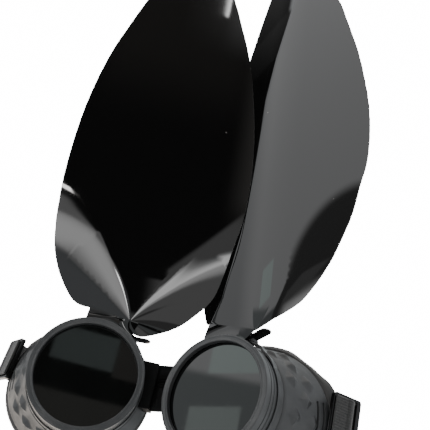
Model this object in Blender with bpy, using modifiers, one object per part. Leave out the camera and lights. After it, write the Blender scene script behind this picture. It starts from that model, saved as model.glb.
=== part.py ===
"""Costume goggles: two screw-ring eyecups on a rubber nose bridge, a head strap and two tall sheet ears.

Metres, +Z up, the goggles face -Y. The origin is the middle of the nose bridge's face side.
"""
import math

import bmesh
import bpy
from mathutils import Matrix, Vector

OBJECT_NAME = "costume_goggles"

# Shared clearances and cutting values
CLEARANCE = 0.0003
CUT_OVERRUN = 0.002
MERGE_DISTANCE = 0.00001
TURN_STEPS = 56

# Where the two cups stand
NOSE_HALF_GAP = 0.0027
OPENING_FORWARD = 0.0345
LEFT_TOE_IN = math.radians(18.9)
RIGHT_TOE_IN = math.radians(23.2)
CUP_ROLL = math.radians(4.0)

# Lens, gasket and screw ring
OPENING_RADIUS = 0.0250
LIP_LENGTH = 0.0026
LENS_LAP = 0.0016
LENS_THICKNESS = 0.0016
GASKET_THICKNESS = 0.0007
GASKET_WIDTH = 0.0018
RING_LENGTH = 0.0074
RING_EDGE_ROUND = 0.0009
RING_WALL = 0.0012

# Cup shell
WALL = 0.0020
COLLAR_STEP = 0.0001
COLLAR_END = 0.0180
GROOVE_DEPTH = 0.0006
GROOVE_WIDTH = 0.0008
FLARE_STEP = 0.0008
RIM_FLARE_ACROSS = 0.0090
RIM_FLARE_UP = 0.0065
RIM_TEMPLE_SHIFT = 0.0035
RIM_DEPTH = 0.0355
RIM_SWEEP = 0.0078
SHELL_COLUMNS = 60
FLARE_ROWS = 6
FACET_HEIGHT = 0.0013
FACET_HALF_ANGLE = math.radians(66.0)
VENT_HEIGHT = 0.0240
VENT_WIDTH = 0.0013
VENT_PITCH = 0.0036
VENT_DEPTH = 0.0335

# Soft face pad
PAD_LENGTH = 0.0042
PAD_WIDTH = 0.0030
PAD_FLARE = 0.0008

# Nose bridge and the channels that hold its beads
BRIDGE_RISE = 0.0060
BRIDGE_HEIGHT = 0.0240
BRIDGE_THICKNESS = 0.0017
BRIDGE_RELIEF = 0.0016
BRIDGE_BOW = 0.0012
BEAD_RADIUS = 0.0021
CHANNEL_WALL = 0.0018
CHANNEL_DEPTH = 0.0215
CHANNEL_CLEAR = 0.0051
CHANNEL_BACK_CLEAR = 0.0005
MOUTH_BACK_ANGLE = math.radians(48.0)
MOUTH_FRONT_ANGLE = math.radians(76.0)

# Side buckles
BUCKLE_HEIGHT = 0.0228
BUCKLE_LENGTH = 0.0166
BUCKLE_THICKNESS = 0.0024
BUCKLE_ANGLE = math.radians(29.5)
BUCKLE_RISE = 0.0063
BUCKLE_START_GAP = 0.0006
BUCKLE_START_BACK = 0.0404
BUCKLE_CORNER = 0.0018
BAR_WIDTH = 0.0024
SLOT_WIDTH = 0.0034
SLOT_END_BAR = 0.0012

# Head strap
STRAP_WIDTH = 0.0196
STRAP_THICKNESS = 0.0012
STRAP_PLIES_APART = 0.0015
STRAP_REAR = 0.1350
STRAP_DROOP = 0.0240
STRAP_SIDE_PULL = 0.0300
STRAP_REAR_PULL = 0.0320
STRAP_OVERLAP = 0.0400
STRAP_STEPS = 18
FOLD_STEPS = 6

# Strap slide
SLIDE_LENGTH = 0.0090
SLIDE_FRAME = 0.0020
SLIDE_BAR = 0.0016

# Ears
EAR_LENGTH = 0.3050
EAR_WIDTH = 0.1160
EAR_SHEET = 0.0008
EAR_PINCH_RIGHT = 0.0136
EAR_PINCH_BACK = 0.0063
EAR_PINCH_CLEAR = 0.0044
EAR_PITCH = math.radians(4.0)
LEFT_EAR_YAW = math.radians(-18.0)
RIGHT_EAR_YAW = math.radians(-15.0)
FOLD_WIDTH = 0.0323
FOLD_SLOPE = math.radians(13.0)
LOBE_RIGHT_SPREAD = 70.0
LOBE_LEFT_SPREAD = 75.0
CREASE_SOFTNESS = 0.0030
EAR_RINGS = 9
EAR_OUTLINE_STEPS = 64
FOLD_GAP = 0.0007
TAB_COLUMNS = 10
TAB_INSET_SHARE = 0.03
TAB_ROW_SHARES = (0.35, 0.7, 0.92)
FOOT_SHARE = 0.9
FOOT_START = 0.0086
FOOT_LENGTH = 0.0072

# Ear ties
TIE_WIDTH = 0.0057
TIE_THICKNESS = 0.0011
TIE_DEPTH = 0.0132
TIE_HEAD_WIDTH = 0.0062
TIE_HEAD_HEIGHT = 0.0030
TIE_HEAD_ANGLE = math.radians(60.0)
TIE_TAIL_LENGTH = 0.0120
TIE_TAIL_LIFT = math.radians(8.0)
TIE_TAIL_SWING = math.radians(24.0)
TIE_STEPS = 48

# Each ear's outline, as shares of its width and length, from the fold round by the tip to the pinch
LEFT_EAR_SHARES = (
    (-0.316, 0.029),
    (-0.418, 0.073),
    (-0.480, 0.120),
    (-0.514, 0.170),
    (-0.535, 0.222),
    (-0.552, 0.279),
    (-0.562, 0.339),
    (-0.567, 0.402),
    (-0.563, 0.469),
    (-0.546, 0.540),
    (-0.516, 0.614),
    (-0.463, 0.692),
    (-0.400, 0.774),
    (-0.319, 0.859),
    (-0.233, 0.938),
    (-0.147, 1.000),
    (-0.060, 0.944),
    (0.034, 0.872),
    (0.145, 0.780),
    (0.220, 0.702),
    (0.286, 0.628),
    (0.336, 0.558),
    (0.371, 0.492),
    (0.401, 0.429),
    (0.421, 0.369),
    (0.434, 0.312),
    (0.436, 0.257),
    (0.428, 0.204),
    (0.406, 0.153),
    (0.382, 0.106),
    (0.344, 0.061),
    (0.258, 0.022),
    (0.179, -0.002),
    (0.077, -0.021),
)
RIGHT_EAR_SHARES = (
    (-0.316, 0.029),
    (-0.418, 0.073),
    (-0.480, 0.120),
    (-0.514, 0.170),
    (-0.535, 0.222),
    (-0.552, 0.279),
    (-0.562, 0.339),
    (-0.567, 0.402),
    (-0.563, 0.469),
    (-0.546, 0.540),
    (-0.516, 0.614),
    (-0.463, 0.692),
    (-0.400, 0.774),
    (-0.319, 0.859),
    (-0.233, 0.938),
    (-0.147, 1.000),
    (-0.052, 0.954),
    (0.043, 0.895),
    (0.138, 0.830),
    (0.224, 0.761),
    (0.289, 0.703),
    (0.327, 0.649),
    (0.363, 0.595),
    (0.392, 0.548),
    (0.415, 0.501),
    (0.442, 0.427),
    (0.451, 0.359),
    (0.442, 0.296),
    (0.414, 0.246),
    (0.380, 0.188),
    (0.320, 0.126),
    (0.279, 0.095),
    (0.234, 0.068),
    (0.183, 0.044),
    (0.121, 0.027),
    (0.061, 0.014),
)
# The lengthwise crease from the fold to the tip, in the same shares
CREASE_SHARES = (
    (-0.328, -0.033),
    (-0.267, 0.020),
    (-0.211, 0.066),
    (-0.168, 0.138),
    (-0.141, 0.187),
    (-0.121, 0.246),
    (-0.108, 0.311),
    (-0.099, 0.390),
    (-0.091, 0.492),
    (-0.073, 0.600),
    (-0.030, 0.731),
    (0.043, 1.000),
)
# How each ear bends: its lobes' depths, the right half's tilt and curl, and the crease's angle
EAR_FLEX = {
    "left": {"right_lobe": 0.018, "left_lobe": 0.008, "tilt": -0.03, "curl": 0.0, "crease": 0.0},
    "right": {"right_lobe": 0.008, "left_lobe": 0.002, "tilt": 0.12, "curl": 0.626, "crease": 21.0},
}
# The bridge's front relief from bottom to top, as shares of its height and of the relief
BRIDGE_PROFILE_SHARES = (
    (0.00, 0.00),
    (0.08, 0.70),
    (0.30, 1.00),
    (0.52, 1.00),
    (0.56, 0.55),
    (0.60, 1.00),
    (0.64, 0.55),
    (0.68, 0.95),
    (0.82, 0.15),
    (0.93, 0.25),
    (1.00, 0.60),
)


def new_collection(name):
    collection = bpy.data.collections.new(name)
    bpy.context.scene.collection.children.link(collection)
    return collection


def clear_scene():
    for item in list(bpy.data.objects):
        bpy.data.objects.remove(item, do_unlink=True)


def make_material(name, colour, roughness, metallic=0.0):
    material = bpy.data.materials.new(name)
    material.use_nodes = True
    shader = material.node_tree.nodes["Principled BSDF"]
    shader.inputs["Base Color"].default_value = (*colour, 1.0)
    shader.inputs["Roughness"].default_value = roughness
    shader.inputs["Metallic"].default_value = metallic
    return material


def place_empty(name, parent, matrix):
    empty = bpy.data.objects.new(name, None)
    PARTS.objects.link(empty)
    empty.parent = parent
    empty.matrix_local = matrix
    return empty


def add_object(name, data, parent, material, matrix=None):
    item = bpy.data.objects.new(name, data)
    PARTS.objects.link(item)
    item.parent = parent
    item.matrix_local = matrix or Matrix.Identity(4)
    item.data.materials.append(material)
    return item


def add_cutter(name, data, parent, matrix=None):
    item = bpy.data.objects.new(name, data)
    CUTTERS.objects.link(item)
    item.parent = parent
    item.matrix_local = matrix or Matrix.Identity(4)
    item.hide_render = True
    item.display_type = "WIRE"
    return item


def smooth_mesh(mesh, angle=math.radians(35.0)):
    mesh.shade_smooth()
    mesh.set_sharp_from_angle(angle=angle)


def mesh_from(name, points, faces):
    mesh = bpy.data.meshes.new(name)
    mesh.from_pydata(points, [], faces)
    grid = bmesh.new()
    grid.from_mesh(mesh)
    bmesh.ops.remove_doubles(grid, verts=grid.verts, dist=MERGE_DISTANCE)
    bmesh.ops.recalc_face_normals(grid, faces=grid.faces)
    grid.to_mesh(mesh)
    grid.free()
    smooth_mesh(mesh)
    return mesh


def loft(name, rings, looped):
    """Skin between sections of equal count; the last joins the first, or both ends are capped."""
    count = len(rings[0])
    points = [point for ring in rings for point in ring]
    faces = []
    spans = len(rings) if looped else len(rings) - 1
    for row in range(spans):
        this = row * count
        after = ((row + 1) % len(rings)) * count
        for column in range(count):
            beside = (column + 1) % count
            faces.append((this + column, this + beside, after + beside, after + column))
    if not looped:
        faces.append(tuple(range(count)))
        faces.append(tuple(reversed(range(len(points) - count, len(points)))))
    return mesh_from(name, points, faces)


def turned(name, profile, parent, material, steps=TURN_STEPS):
    """A profile of (radius, forward) turned about the cup's axis."""
    mesh = bpy.data.meshes.new(name)
    points = [(radius, 0.0, forward) for radius, forward in profile]
    edges = [(i, i + 1) for i in range(len(points) - 1)]
    if profile[0][0] > 0.0:
        edges.append((len(points) - 1, 0))
    mesh.from_pydata(points, edges, [])
    item = add_object(name, mesh, parent, material, Matrix.Rotation(math.pi / 2, 4, "X"))
    screw = item.modifiers.new("turn", "SCREW")
    screw.axis = "Z"
    screw.steps = steps
    screw.render_steps = steps
    screw.use_merge_vertices = True
    screw.merge_threshold = MERGE_DISTANCE
    screw.use_smooth_shade = True
    return item


def boolean(item, operand, operation):
    change = item.modifiers.new(operation.lower(), "BOOLEAN")
    change.operation = operation
    change.solver = "EXACT"
    change.object = operand
    return change


def box_mesh(name, low, high):
    grid = bmesh.new()
    centre = (Vector(low) + Vector(high)) / 2
    size = Vector(high) - Vector(low)
    place = Matrix.Translation(centre) @ Matrix.Diagonal((*size, 1.0))
    bmesh.ops.create_cube(grid, size=1.0, matrix=place)
    mesh = bpy.data.meshes.new(name)
    grid.to_mesh(mesh)
    grid.free()
    return mesh


def rod_mesh(name, radius, height, centre, segments, axis="Z"):
    grid = bmesh.new()
    turn = Matrix.Rotation(math.pi / 2, 4, "X") if axis == "Y" else Matrix.Identity(4)
    place = Matrix.Translation(centre) @ turn
    bmesh.ops.create_cone(
        grid,
        cap_ends=True,
        segments=segments,
        radius1=radius,
        radius2=radius,
        depth=height,
        matrix=place,
    )
    mesh = bpy.data.meshes.new(name)
    grid.to_mesh(mesh)
    grid.free()
    smooth_mesh(mesh)
    return mesh


def ease(share):
    share = min(max(share, 0.0), 1.0)
    return share * share * (3.0 - 2.0 * share)


def lerp(start, end, share):
    return start + (end - start) * share


# The named stack along a cup's axis, measured back from the opening
LENS_FRONT = LIP_LENGTH + CLEARANCE
LENS_BACK = LENS_FRONT + LENS_THICKNESS
GASKET_FRONT = LENS_BACK + CLEARANCE
GASKET_BACK = GASKET_FRONT + GASKET_THICKNESS
NECK_FRONT = GASKET_BACK + CLEARANCE
COLLAR_START = RING_LENGTH + CLEARANCE
LENS_RADIUS = OPENING_RADIUS + LENS_LAP
SKIRT_RADIUS = LENS_RADIUS + 2 * CLEARANCE
RING_RADIUS = SKIRT_RADIUS + RING_WALL
NECK_RADIUS = SKIRT_RADIUS - CLEARANCE
COLLAR_RADIUS = RING_RADIUS + COLLAR_STEP
RIM_HALF_WIDTH = COLLAR_RADIUS + RIM_FLARE_ACROSS
RIM_HALF_HEIGHT = COLLAR_RADIUS + RIM_FLARE_UP
CHANNEL_OFFSET = COLLAR_RADIUS + CHANNEL_CLEAR
CHANNEL_BACK_RADIUS = COLLAR_RADIUS + CHANNEL_BACK_CLEAR
BUCKLE_START_OUT = RIM_TEMPLE_SHIFT + RIM_HALF_WIDTH + BUCKLE_START_GAP
EYE_SPACING = 2 * (COLLAR_RADIUS + NOSE_HALF_GAP)
EAR_PINCH_UP = COLLAR_RADIUS + EAR_PINCH_CLEAR
REAR_LEVEL = BUCKLE_RISE - STRAP_DROOP


def lens_ring(cup):
    """The screw ring: a rounded front lip over the lens and a skirt that turns on the neck."""
    rounding = RING_EDGE_ROUND
    slope = math.sqrt(0.5)
    profile = (
        (RING_RADIUS - rounding, 0.0),
        (RING_RADIUS - rounding * (1.0 - slope), -rounding * (1.0 - slope)),
        (RING_RADIUS, -rounding),
        (RING_RADIUS, -RING_LENGTH + rounding / 2),
        (RING_RADIUS - rounding / 2, -RING_LENGTH),
        (SKIRT_RADIUS, -RING_LENGTH),
        (SKIRT_RADIUS, -LIP_LENGTH),
        (OPENING_RADIUS, -LIP_LENGTH),
        (OPENING_RADIUS, -rounding),
        (OPENING_RADIUS + rounding * (1.0 - slope), -rounding * (1.0 - slope)),
        (OPENING_RADIUS + rounding, 0.0),
    )
    return turned(cup.named("lens_ring"), profile, cup.axis, MATERIALS["ring"])


def lens(cup):
    """A flat tinted disc held between the ring's lip and the gasket."""
    radius = LENS_RADIUS
    profile = (
        (0.0, -LENS_FRONT),
        (radius, -LENS_FRONT),
        (radius, -LENS_BACK),
        (0.0, -LENS_BACK),
    )
    return turned(cup.named("lens"), profile, cup.axis, MATERIALS["lens"])


def lens_gasket(cup):
    """The flat rubber washer between lens and neck."""
    profile = (
        (LENS_RADIUS, -GASKET_FRONT),
        (LENS_RADIUS, -GASKET_BACK),
        (LENS_RADIUS - GASKET_WIDTH, -GASKET_BACK),
        (LENS_RADIUS - GASKET_WIDTH, -GASKET_FRONT),
    )
    return turned(cup.named("lens_gasket"), profile, cup.axis, MATERIALS["rubber"])


def rim_point(cup, angle, inset=0.0):
    """A point of the oval rear rim: swept back at the temple and short at the nose."""
    across = cup.side * (RIM_TEMPLE_SHIFT + (RIM_HALF_WIDTH - inset) * math.cos(angle))
    back = RIM_DEPTH + RIM_SWEEP * math.cos(angle)
    up = (RIM_HALF_HEIGHT - inset) * math.sin(angle)
    return Vector((across, back, up))


def flare_point(cup, angle, share, inset):
    """A point of the shell between the round collar and the oval rim."""
    radius = COLLAR_RADIUS + FLARE_STEP - inset
    start = Vector((cup.side * radius * math.cos(angle), COLLAR_END, radius * math.sin(angle)))
    return start.lerp(rim_point(cup, angle, inset), share)


def facet_lift(column, row, angle):
    """Raised pyramids in two staggered rows on the temple side: lifted at each centre."""
    turned_by = math.atan2(math.sin(angle), math.cos(angle))
    on_temple = abs(turned_by) < FACET_HALF_ANGLE
    centre = row in (1, 3) and (column + row // 2) % 2 == 0
    return FACET_HEIGHT if on_temple and centre else 0.0


def shell_ring(cup, radius, back):
    ring = []
    for column in range(SHELL_COLUMNS):
        angle = 2 * math.pi * column / SHELL_COLUMNS
        ring.append(Vector((cup.side * radius * math.cos(angle), back, radius * math.sin(angle))))
    return ring


def flare_ring(cup, row, inset, lifted):
    ring = []
    share = row / FLARE_ROWS
    for column in range(SHELL_COLUMNS):
        angle = 2 * math.pi * column / SHELL_COLUMNS
        lift = facet_lift(column, row, angle) if lifted else 0.0
        ring.append(flare_point(cup, angle, share, inset - lift))
    return ring


def vent_cutter(cup, order):
    """A thin upright slot that follows the wall round the temple."""
    reach = RIM_HALF_WIDTH + RIM_TEMPLE_SHIFT
    half_angle = VENT_HEIGHT / 2 / reach
    back = VENT_DEPTH + order * VENT_PITCH
    inner = COLLAR_RADIUS - WALL - FLARE_STEP
    outer = reach + WALL + FLARE_STEP
    rings = []
    steps = 8
    for step in range(steps + 1):
        angle = lerp(-half_angle, half_angle, step / steps)
        across = cup.side * math.cos(angle)
        up = math.sin(angle)
        low = back - VENT_WIDTH / 2
        high = back + VENT_WIDTH / 2
        rings.append(
            (
                Vector((across * inner, low, up * inner)),
                Vector((across * outer, low, up * outer)),
                Vector((across * outer, high, up * outer)),
                Vector((across * inner, high, up * inner)),
            )
        )
    mesh = loft(cup.named("vent_cut_%d" % order), rings, looped=False)
    return add_cutter(mesh.name, mesh, cup.axis)


def channel_block(cup):
    """The nose-side lug: a round upright bar on a web that dies into the shell."""
    radius = BEAD_RADIUS + CLEARANCE + CHANNEL_WALL
    height = BRIDGE_HEIGHT
    centre = Vector((0.0, 0.0, BRIDGE_RISE))
    bar = add_cutter(
        cup.named("channel_bar"),
        rod_mesh(cup.named("channel_bar"), radius, height, centre, 24),
        cup.hinge,
    )
    inward = CHANNEL_OFFSET - CHANNEL_BACK_RADIUS * math.cos(math.radians(44.0))
    near = 0.0
    far = cup.side * inward
    web = add_cutter(
        cup.named("channel_web"),
        box_mesh(
            cup.named("channel_web"),
            (min(near, far), -radius + MERGE_DISTANCE, BRIDGE_RISE - height / 2 + MERGE_DISTANCE),
            (max(near, far), radius - MERGE_DISTANCE, BRIDGE_RISE + height / 2 - MERGE_DISTANCE),
        ),
        cup.hinge,
    )
    boolean(bar, web, "UNION")
    clear = add_cutter(
        cup.named("channel_back"),
        rod_mesh(
            cup.named("channel_back"),
            CHANNEL_BACK_RADIUS,
            CHANNEL_DEPTH,
            Vector((0.0, CHANNEL_DEPTH, 0.0)),
            48,
            axis="Y",
        ),
        cup.axis,
    )
    boolean(bar, clear, "DIFFERENCE")
    return bar


def channel_cutters(cup):
    """The bead's bore and the mouth that lets the web swing."""
    radius = BEAD_RADIUS + CLEARANCE
    height = BRIDGE_HEIGHT + 2 * CUT_OVERRUN
    low = BRIDGE_RISE - height / 2
    bore = add_cutter(
        cup.named("channel_bore"),
        rod_mesh(cup.named("channel_bore"), radius, height, Vector((0.0, 0.0, BRIDGE_RISE)), 24),
        cup.hinge,
    )
    reach = radius + CHANNEL_WALL + CUT_OVERRUN
    corners = []
    for angle in (-MOUTH_FRONT_ANGLE, 0.0, MOUTH_BACK_ANGLE):
        across = -cup.side * reach * math.cos(angle)
        corners.append(Vector((across, reach * math.sin(angle), low)))
    section = [Vector((0.0, 0.0, low)), *corners]
    raised = [point + Vector((0.0, 0.0, height)) for point in section]
    mesh = loft(cup.named("channel_mouth"), (section, raised), looped=False)
    mouth = add_cutter(mesh.name, mesh, cup.hinge)
    return bore, mouth


def cup_shell(cup):
    """Neck, grooved collar and the flared, faceted wall, open through the middle."""
    groove = GROOVE_WIDTH
    first = COLLAR_START + groove
    last = COLLAR_END - groove
    outer = [
        shell_ring(cup, NECK_RADIUS, NECK_FRONT),
        shell_ring(cup, NECK_RADIUS, COLLAR_START),
        shell_ring(cup, COLLAR_RADIUS, COLLAR_START),
        shell_ring(cup, COLLAR_RADIUS, first),
        shell_ring(cup, COLLAR_RADIUS - GROOVE_DEPTH, first + groove / 2),
        shell_ring(cup, COLLAR_RADIUS, first + groove),
        shell_ring(cup, COLLAR_RADIUS, last - groove),
        shell_ring(cup, COLLAR_RADIUS - GROOVE_DEPTH, last - groove / 2),
        shell_ring(cup, COLLAR_RADIUS, last),
    ]
    outer += [flare_ring(cup, row, 0.0, True) for row in range(FLARE_ROWS + 1)]
    inner = [flare_ring(cup, row, WALL, False) for row in range(FLARE_ROWS, -1, -2)]
    inner.append(shell_ring(cup, OPENING_RADIUS, COLLAR_END - WALL))
    inner.append(shell_ring(cup, OPENING_RADIUS, NECK_FRONT))
    mesh = loft(cup.named("cup_shell"), outer + inner, looped=True)
    shell = add_object(mesh.name, mesh, cup.axis, MATERIALS["shell"])
    boolean(shell, channel_block(cup), "UNION")
    for cutter in channel_cutters(cup):
        boolean(shell, cutter, "DIFFERENCE")
    for order in range(2):
        boolean(shell, vent_cutter(cup, order), "DIFFERENCE")
    return shell


def face_pad(cup):
    """The soft lip behind the rim, rounded in section and flared outwards."""
    rings = []
    for column in range(SHELL_COLUMNS * 4 // 5):
        angle = 2 * math.pi * column / (SHELL_COLUMNS * 4 // 5)
        rim = rim_point(cup, angle, WALL / 2)
        outward = Vector((cup.side * math.cos(angle), 0.0, math.sin(angle)))
        start = rim + Vector((0.0, CLEARANCE, 0.0))
        half = PAD_WIDTH / 2
        back = Vector((0.0, PAD_LENGTH, 0.0))
        rings.append(
            (
                start - outward * half,
                start + outward * half,
                start + outward * (half + PAD_FLARE / 2) + back / 2,
                start + outward * (half + PAD_FLARE) + back * 0.85,
                start + outward * PAD_FLARE + back,
                start + outward * (PAD_FLARE - half) + back * 0.85,
                start - outward * (half - PAD_FLARE / 2) + back / 2,
            )
        )
    mesh = loft(cup.named("face_pad"), rings, looped=True)
    return add_object(mesh.name, mesh, cup.axis, MATERIALS["pad"])


def rounded_outline(low, high, corner, steps=3):
    """A rectangle with round corners, as points in its own plane."""
    points = []
    places = (
        (high[0] - corner, high[1] - corner, 0.0),
        (low[0] + corner, high[1] - corner, math.pi / 2),
        (low[0] + corner, low[1] + corner, math.pi),
        (high[0] - corner, low[1] + corner, 3 * math.pi / 2),
    )
    for x, y, start in places:
        for step in range(steps + 1):
            angle = start + math.pi / 2 * step / steps
            points.append((x + corner * math.cos(angle), y + corner * math.sin(angle)))
    return points


def plate(name, outlines, thickness, parent, material, matrix):
    """A flat plate from 2D outlines: the first is its edge and the rest are holes."""
    curve = bpy.data.curves.new(name, "CURVE")
    curve.dimensions = "2D"
    curve.fill_mode = "BOTH"
    curve.extrude = thickness / 2
    for outline in outlines:
        spline = curve.splines.new("POLY")
        spline.points.add(len(outline) - 1)
        for place, point in zip(spline.points, outline):
            place.co = (*point, 0.0, 1.0)
        spline.use_cyclic_u = True
    return add_object(name, curve, parent, material, matrix)


def buckle_matrix(cup):
    """The plate's frame: local X runs back and out along it, local Y up, local Z off its outer face."""
    along = Vector((cup.side * math.sin(BUCKLE_ANGLE), math.cos(BUCKLE_ANGLE), 0.0))
    up = Vector((0.0, 0.0, 1.0))
    off = along.cross(up)
    start = Vector((cup.side * BUCKLE_START_OUT, BUCKLE_START_BACK, BUCKLE_RISE))
    matrix = Matrix((along, up, off)).transposed().to_4x4()
    return Matrix.Translation(start) @ matrix


def middle_bar_centre():
    return BUCKLE_LENGTH - BAR_WIDTH - SLOT_WIDTH - BAR_WIDTH / 2


def side_buckle(cup):
    """A two-slot strap buckle at the temple: inner bar, middle bar under the strap and outer bar."""
    half = BUCKLE_HEIGHT / 2
    slot_half = half - SLOT_END_BAR
    middle = middle_bar_centre()
    outline = rounded_outline((0.0, -half), (BUCKLE_LENGTH, half), BUCKLE_CORNER)
    outer_low = middle + BAR_WIDTH / 2
    inner_high = middle - BAR_WIDTH / 2
    corner = SLOT_END_BAR / 2
    outer_slot = rounded_outline((outer_low, -slot_half), (outer_low + SLOT_WIDTH, slot_half), corner)
    inner_slot = rounded_outline((inner_high - SLOT_WIDTH, -slot_half), (inner_high, slot_half), corner)
    return plate(
        cup.named("side_buckle"),
        (outline, outer_slot, inner_slot),
        BUCKLE_THICKNESS,
        cup.axis,
        MATERIALS["buckle"],
        buckle_matrix(cup),
    )


def band(name, centres, uprights, sides, parent, material):
    """A flat strap: a rectangle carried along a centre line."""
    rings = []
    for centre, upright, side in zip(centres, uprights, sides):
        half_up = upright * STRAP_WIDTH / 2
        half_side = side * STRAP_THICKNESS / 2
        rings.append(
            (
                centre + half_up + half_side,
                centre + half_up - half_side,
                centre - half_up - half_side,
                centre - half_up + half_side,
            )
        )
    mesh = loft(name, rings, looped=False)
    return add_object(name, mesh, parent, material)


def bezier(points, share):
    rest = 1.0 - share
    weights = (rest**3, 3 * rest**2 * share, 3 * rest * share**2, share**3)
    return sum((point * weight for point, weight in zip(points, weights)), Vector((0.0, 0.0, 0.0)))


def head_strap(cup):
    """One strap half: folded round the buckle's middle bar, then round to the back of the head."""
    matrix = cup.axis.matrix_world @ buckle_matrix(cup)
    middle = middle_bar_centre()
    radius = math.hypot(BAR_WIDTH, BUCKLE_THICKNESS) / 2 + CLEARANCE + STRAP_THICKNESS / 2
    outer_sign = 1.0 if (matrix.to_3x3() @ Vector((0.0, 0.0, 1.0))).x * cup.side > 0 else -1.0
    level = (matrix.to_3x3() @ Vector((0.0, 1.0, 0.0))).normalized()
    world_up = Vector((0.0, 0.0, 1.0))
    fold = []
    for step in range(FOLD_STEPS + 1):
        angle = math.pi * step / FOLD_STEPS
        along = middle - radius * math.cos(angle)
        off = outer_sign * radius * math.sin(angle)
        fold.append(matrix @ Vector((along, 0.0, off)))
    inward = -outer_sign * (matrix.to_3x3() @ Vector((0.0, 0.0, 1.0)))
    first_exit = fold[0] + inward * (BUCKLE_THICKNESS + STRAP_THICKNESS)
    last_exit = fold[-1] + inward * (BUCKLE_THICKNESS + STRAP_THICKNESS)
    rear_offset = cup.side * (STRAP_THICKNESS / 2 + CLEARANCE + SLIDE_BAR / 2)
    rear = Vector((cup.side * STRAP_OVERLAP, STRAP_REAR + rear_offset, 0.0))
    start = last_exit.copy()
    controls = (
        start,
        start + inward * STRAP_SIDE_PULL,
        Vector((rear.x + cup.side * STRAP_REAR_PULL, rear.y, start.z)),
        Vector((rear.x, rear.y, start.z)),
    )
    run = []
    for step in range(1, STRAP_STEPS + 1):
        share = step / STRAP_STEPS
        point = bezier(controls, share)
        level_share = ease(share)
        point.z = lerp(lerp(start.z, point.z, 1.0 - level_share), REAR_LEVEL, level_share)
        run.append(point)
    end = Vector((-cup.side * STRAP_OVERLAP, rear.y, run[-1].z))
    run.append(end)
    doubled = []
    for index in (2, 1, 0):
        heading = (run[index + 1] - run[index]).normalized()
        headward = heading.cross(world_up).normalized() * -cup.side
        doubled.append(run[index] + headward * STRAP_PLIES_APART)
    centres = doubled + [first_exit] + fold + [last_exit] + run
    uprights = []
    for index in range(len(centres)):
        past = index - len(doubled) - len(fold) - 2
        blend = ease(max(past, 0) / 5)
        uprights.append(level.lerp(world_up, blend).normalized())
    sides = []
    for index, upright in enumerate(uprights):
        before = centres[max(index - 1, 0)]
        after = centres[min(index + 1, len(centres) - 1)]
        sides.append((after - before).cross(upright).normalized())
    name = cup.label + "_head_strap"
    return band(name, centres, uprights, sides, None, MATERIALS["webbing"])


def strap_slide():
    """The slide at the back: a short frame round both straps with a bar between them."""
    window = STRAP_THICKNESS + 2 * CLEARANCE
    half_depth = window + SLIDE_BAR / 2 + SLIDE_FRAME
    half_height = STRAP_WIDTH / 2 + CLEARANCE + SLIDE_FRAME
    outline = rounded_outline((-half_depth, -half_height), (half_depth, half_height), SLIDE_FRAME / 2)
    inside = half_height - SLIDE_FRAME
    near = rounded_outline((-window - SLIDE_BAR / 2, -inside), (-SLIDE_BAR / 2, inside), CLEARANCE / 2)
    far = rounded_outline((SLIDE_BAR / 2, -inside), (window + SLIDE_BAR / 2, inside), CLEARANCE / 2)
    turn = Matrix(((0.0, 0.0, 1.0), (1.0, 0.0, 0.0), (0.0, 1.0, 0.0))).to_4x4()
    place = Matrix.Translation(Vector((0.0, STRAP_REAR, REAR_LEVEL))) @ turn
    return plate("strap_slide", (outline, near, far), SLIDE_LENGTH, None, MATERIALS["buckle"], place)


def nose_bridge(left, right):
    """A moulded rubber web with ribs across its front and a bead up each end."""
    start = left.hinge.matrix_world.translation
    end = right.hinge.matrix_world.translation
    along = (end - start).normalized()
    facing = along.cross(Vector((0.0, 0.0, 1.0)))
    stations = 10
    rings = []
    for station in range(stations + 1):
        share = station / stations
        centre = start.lerp(end, share) - facing * BRIDGE_BOW * math.sin(math.pi * share)
        relief = BRIDGE_RELIEF * ease(min(share, 1.0 - share) * 3)
        front = []
        for height_share, relief_share in BRIDGE_PROFILE_SHARES:
            up = BRIDGE_RISE + BRIDGE_HEIGHT * (height_share - 1 / 2)
            out = BRIDGE_THICKNESS / 2 + relief * relief_share
            front.append(centre + facing * out + Vector((0.0, 0.0, up)))
        top = BRIDGE_RISE + BRIDGE_HEIGHT / 2
        low = BRIDGE_RISE - BRIDGE_HEIGHT / 2
        behind = centre - facing * BRIDGE_THICKNESS / 2
        rings.append((*front, behind + Vector((0.0, 0.0, top)), behind + Vector((0.0, 0.0, low))))
    mesh = loft("nose_bridge", rings, looped=False)
    bridge = add_object("nose_bridge", mesh, None, MATERIALS["rubber"])
    for cup in (left, right):
        centre = cup.hinge.matrix_world.translation + Vector((0.0, 0.0, BRIDGE_RISE))
        height = BRIDGE_HEIGHT + 2 * MERGE_DISTANCE
        bead = add_cutter(
            cup.named("bead"), rod_mesh(cup.named("bead"), BEAD_RADIUS, height, centre, 20), None
        )
        boolean(bridge, bead, "UNION")
    return bridge


def outline_points(cup):
    """The ear's edge from the fold's far end round to the pinch, through the named shares."""
    corners = [fold_end()]
    corners += [Vector((across * EAR_WIDTH, up * EAR_LENGTH)) for across, up in cup.outline]
    points = []
    last = len(corners) - 1
    for index in range(last):
        before = corners[max(index - 1, 0)]
        start = corners[index]
        end = corners[index + 1]
        after = corners[min(index + 2, last)]
        length = (end - start).length
        steps = max(1, round(length / EAR_LENGTH * EAR_OUTLINE_STEPS / 2))
        for step in range(steps):
            share = step / steps
            points.append(spline_point(before, start, end, after, share))
    points.append(corners[last])
    return points


def spline_point(before, start, end, after, share):
    """Catmull-Rom between start and end."""
    square = share * share
    cube = square * share
    return (
        start * 2
        + (end - before) * share
        + (before * 2 - start * 5 + end * 4 - after) * square
        + (start * 3 - before - end * 3 + after) * cube
    ) / 2


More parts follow.
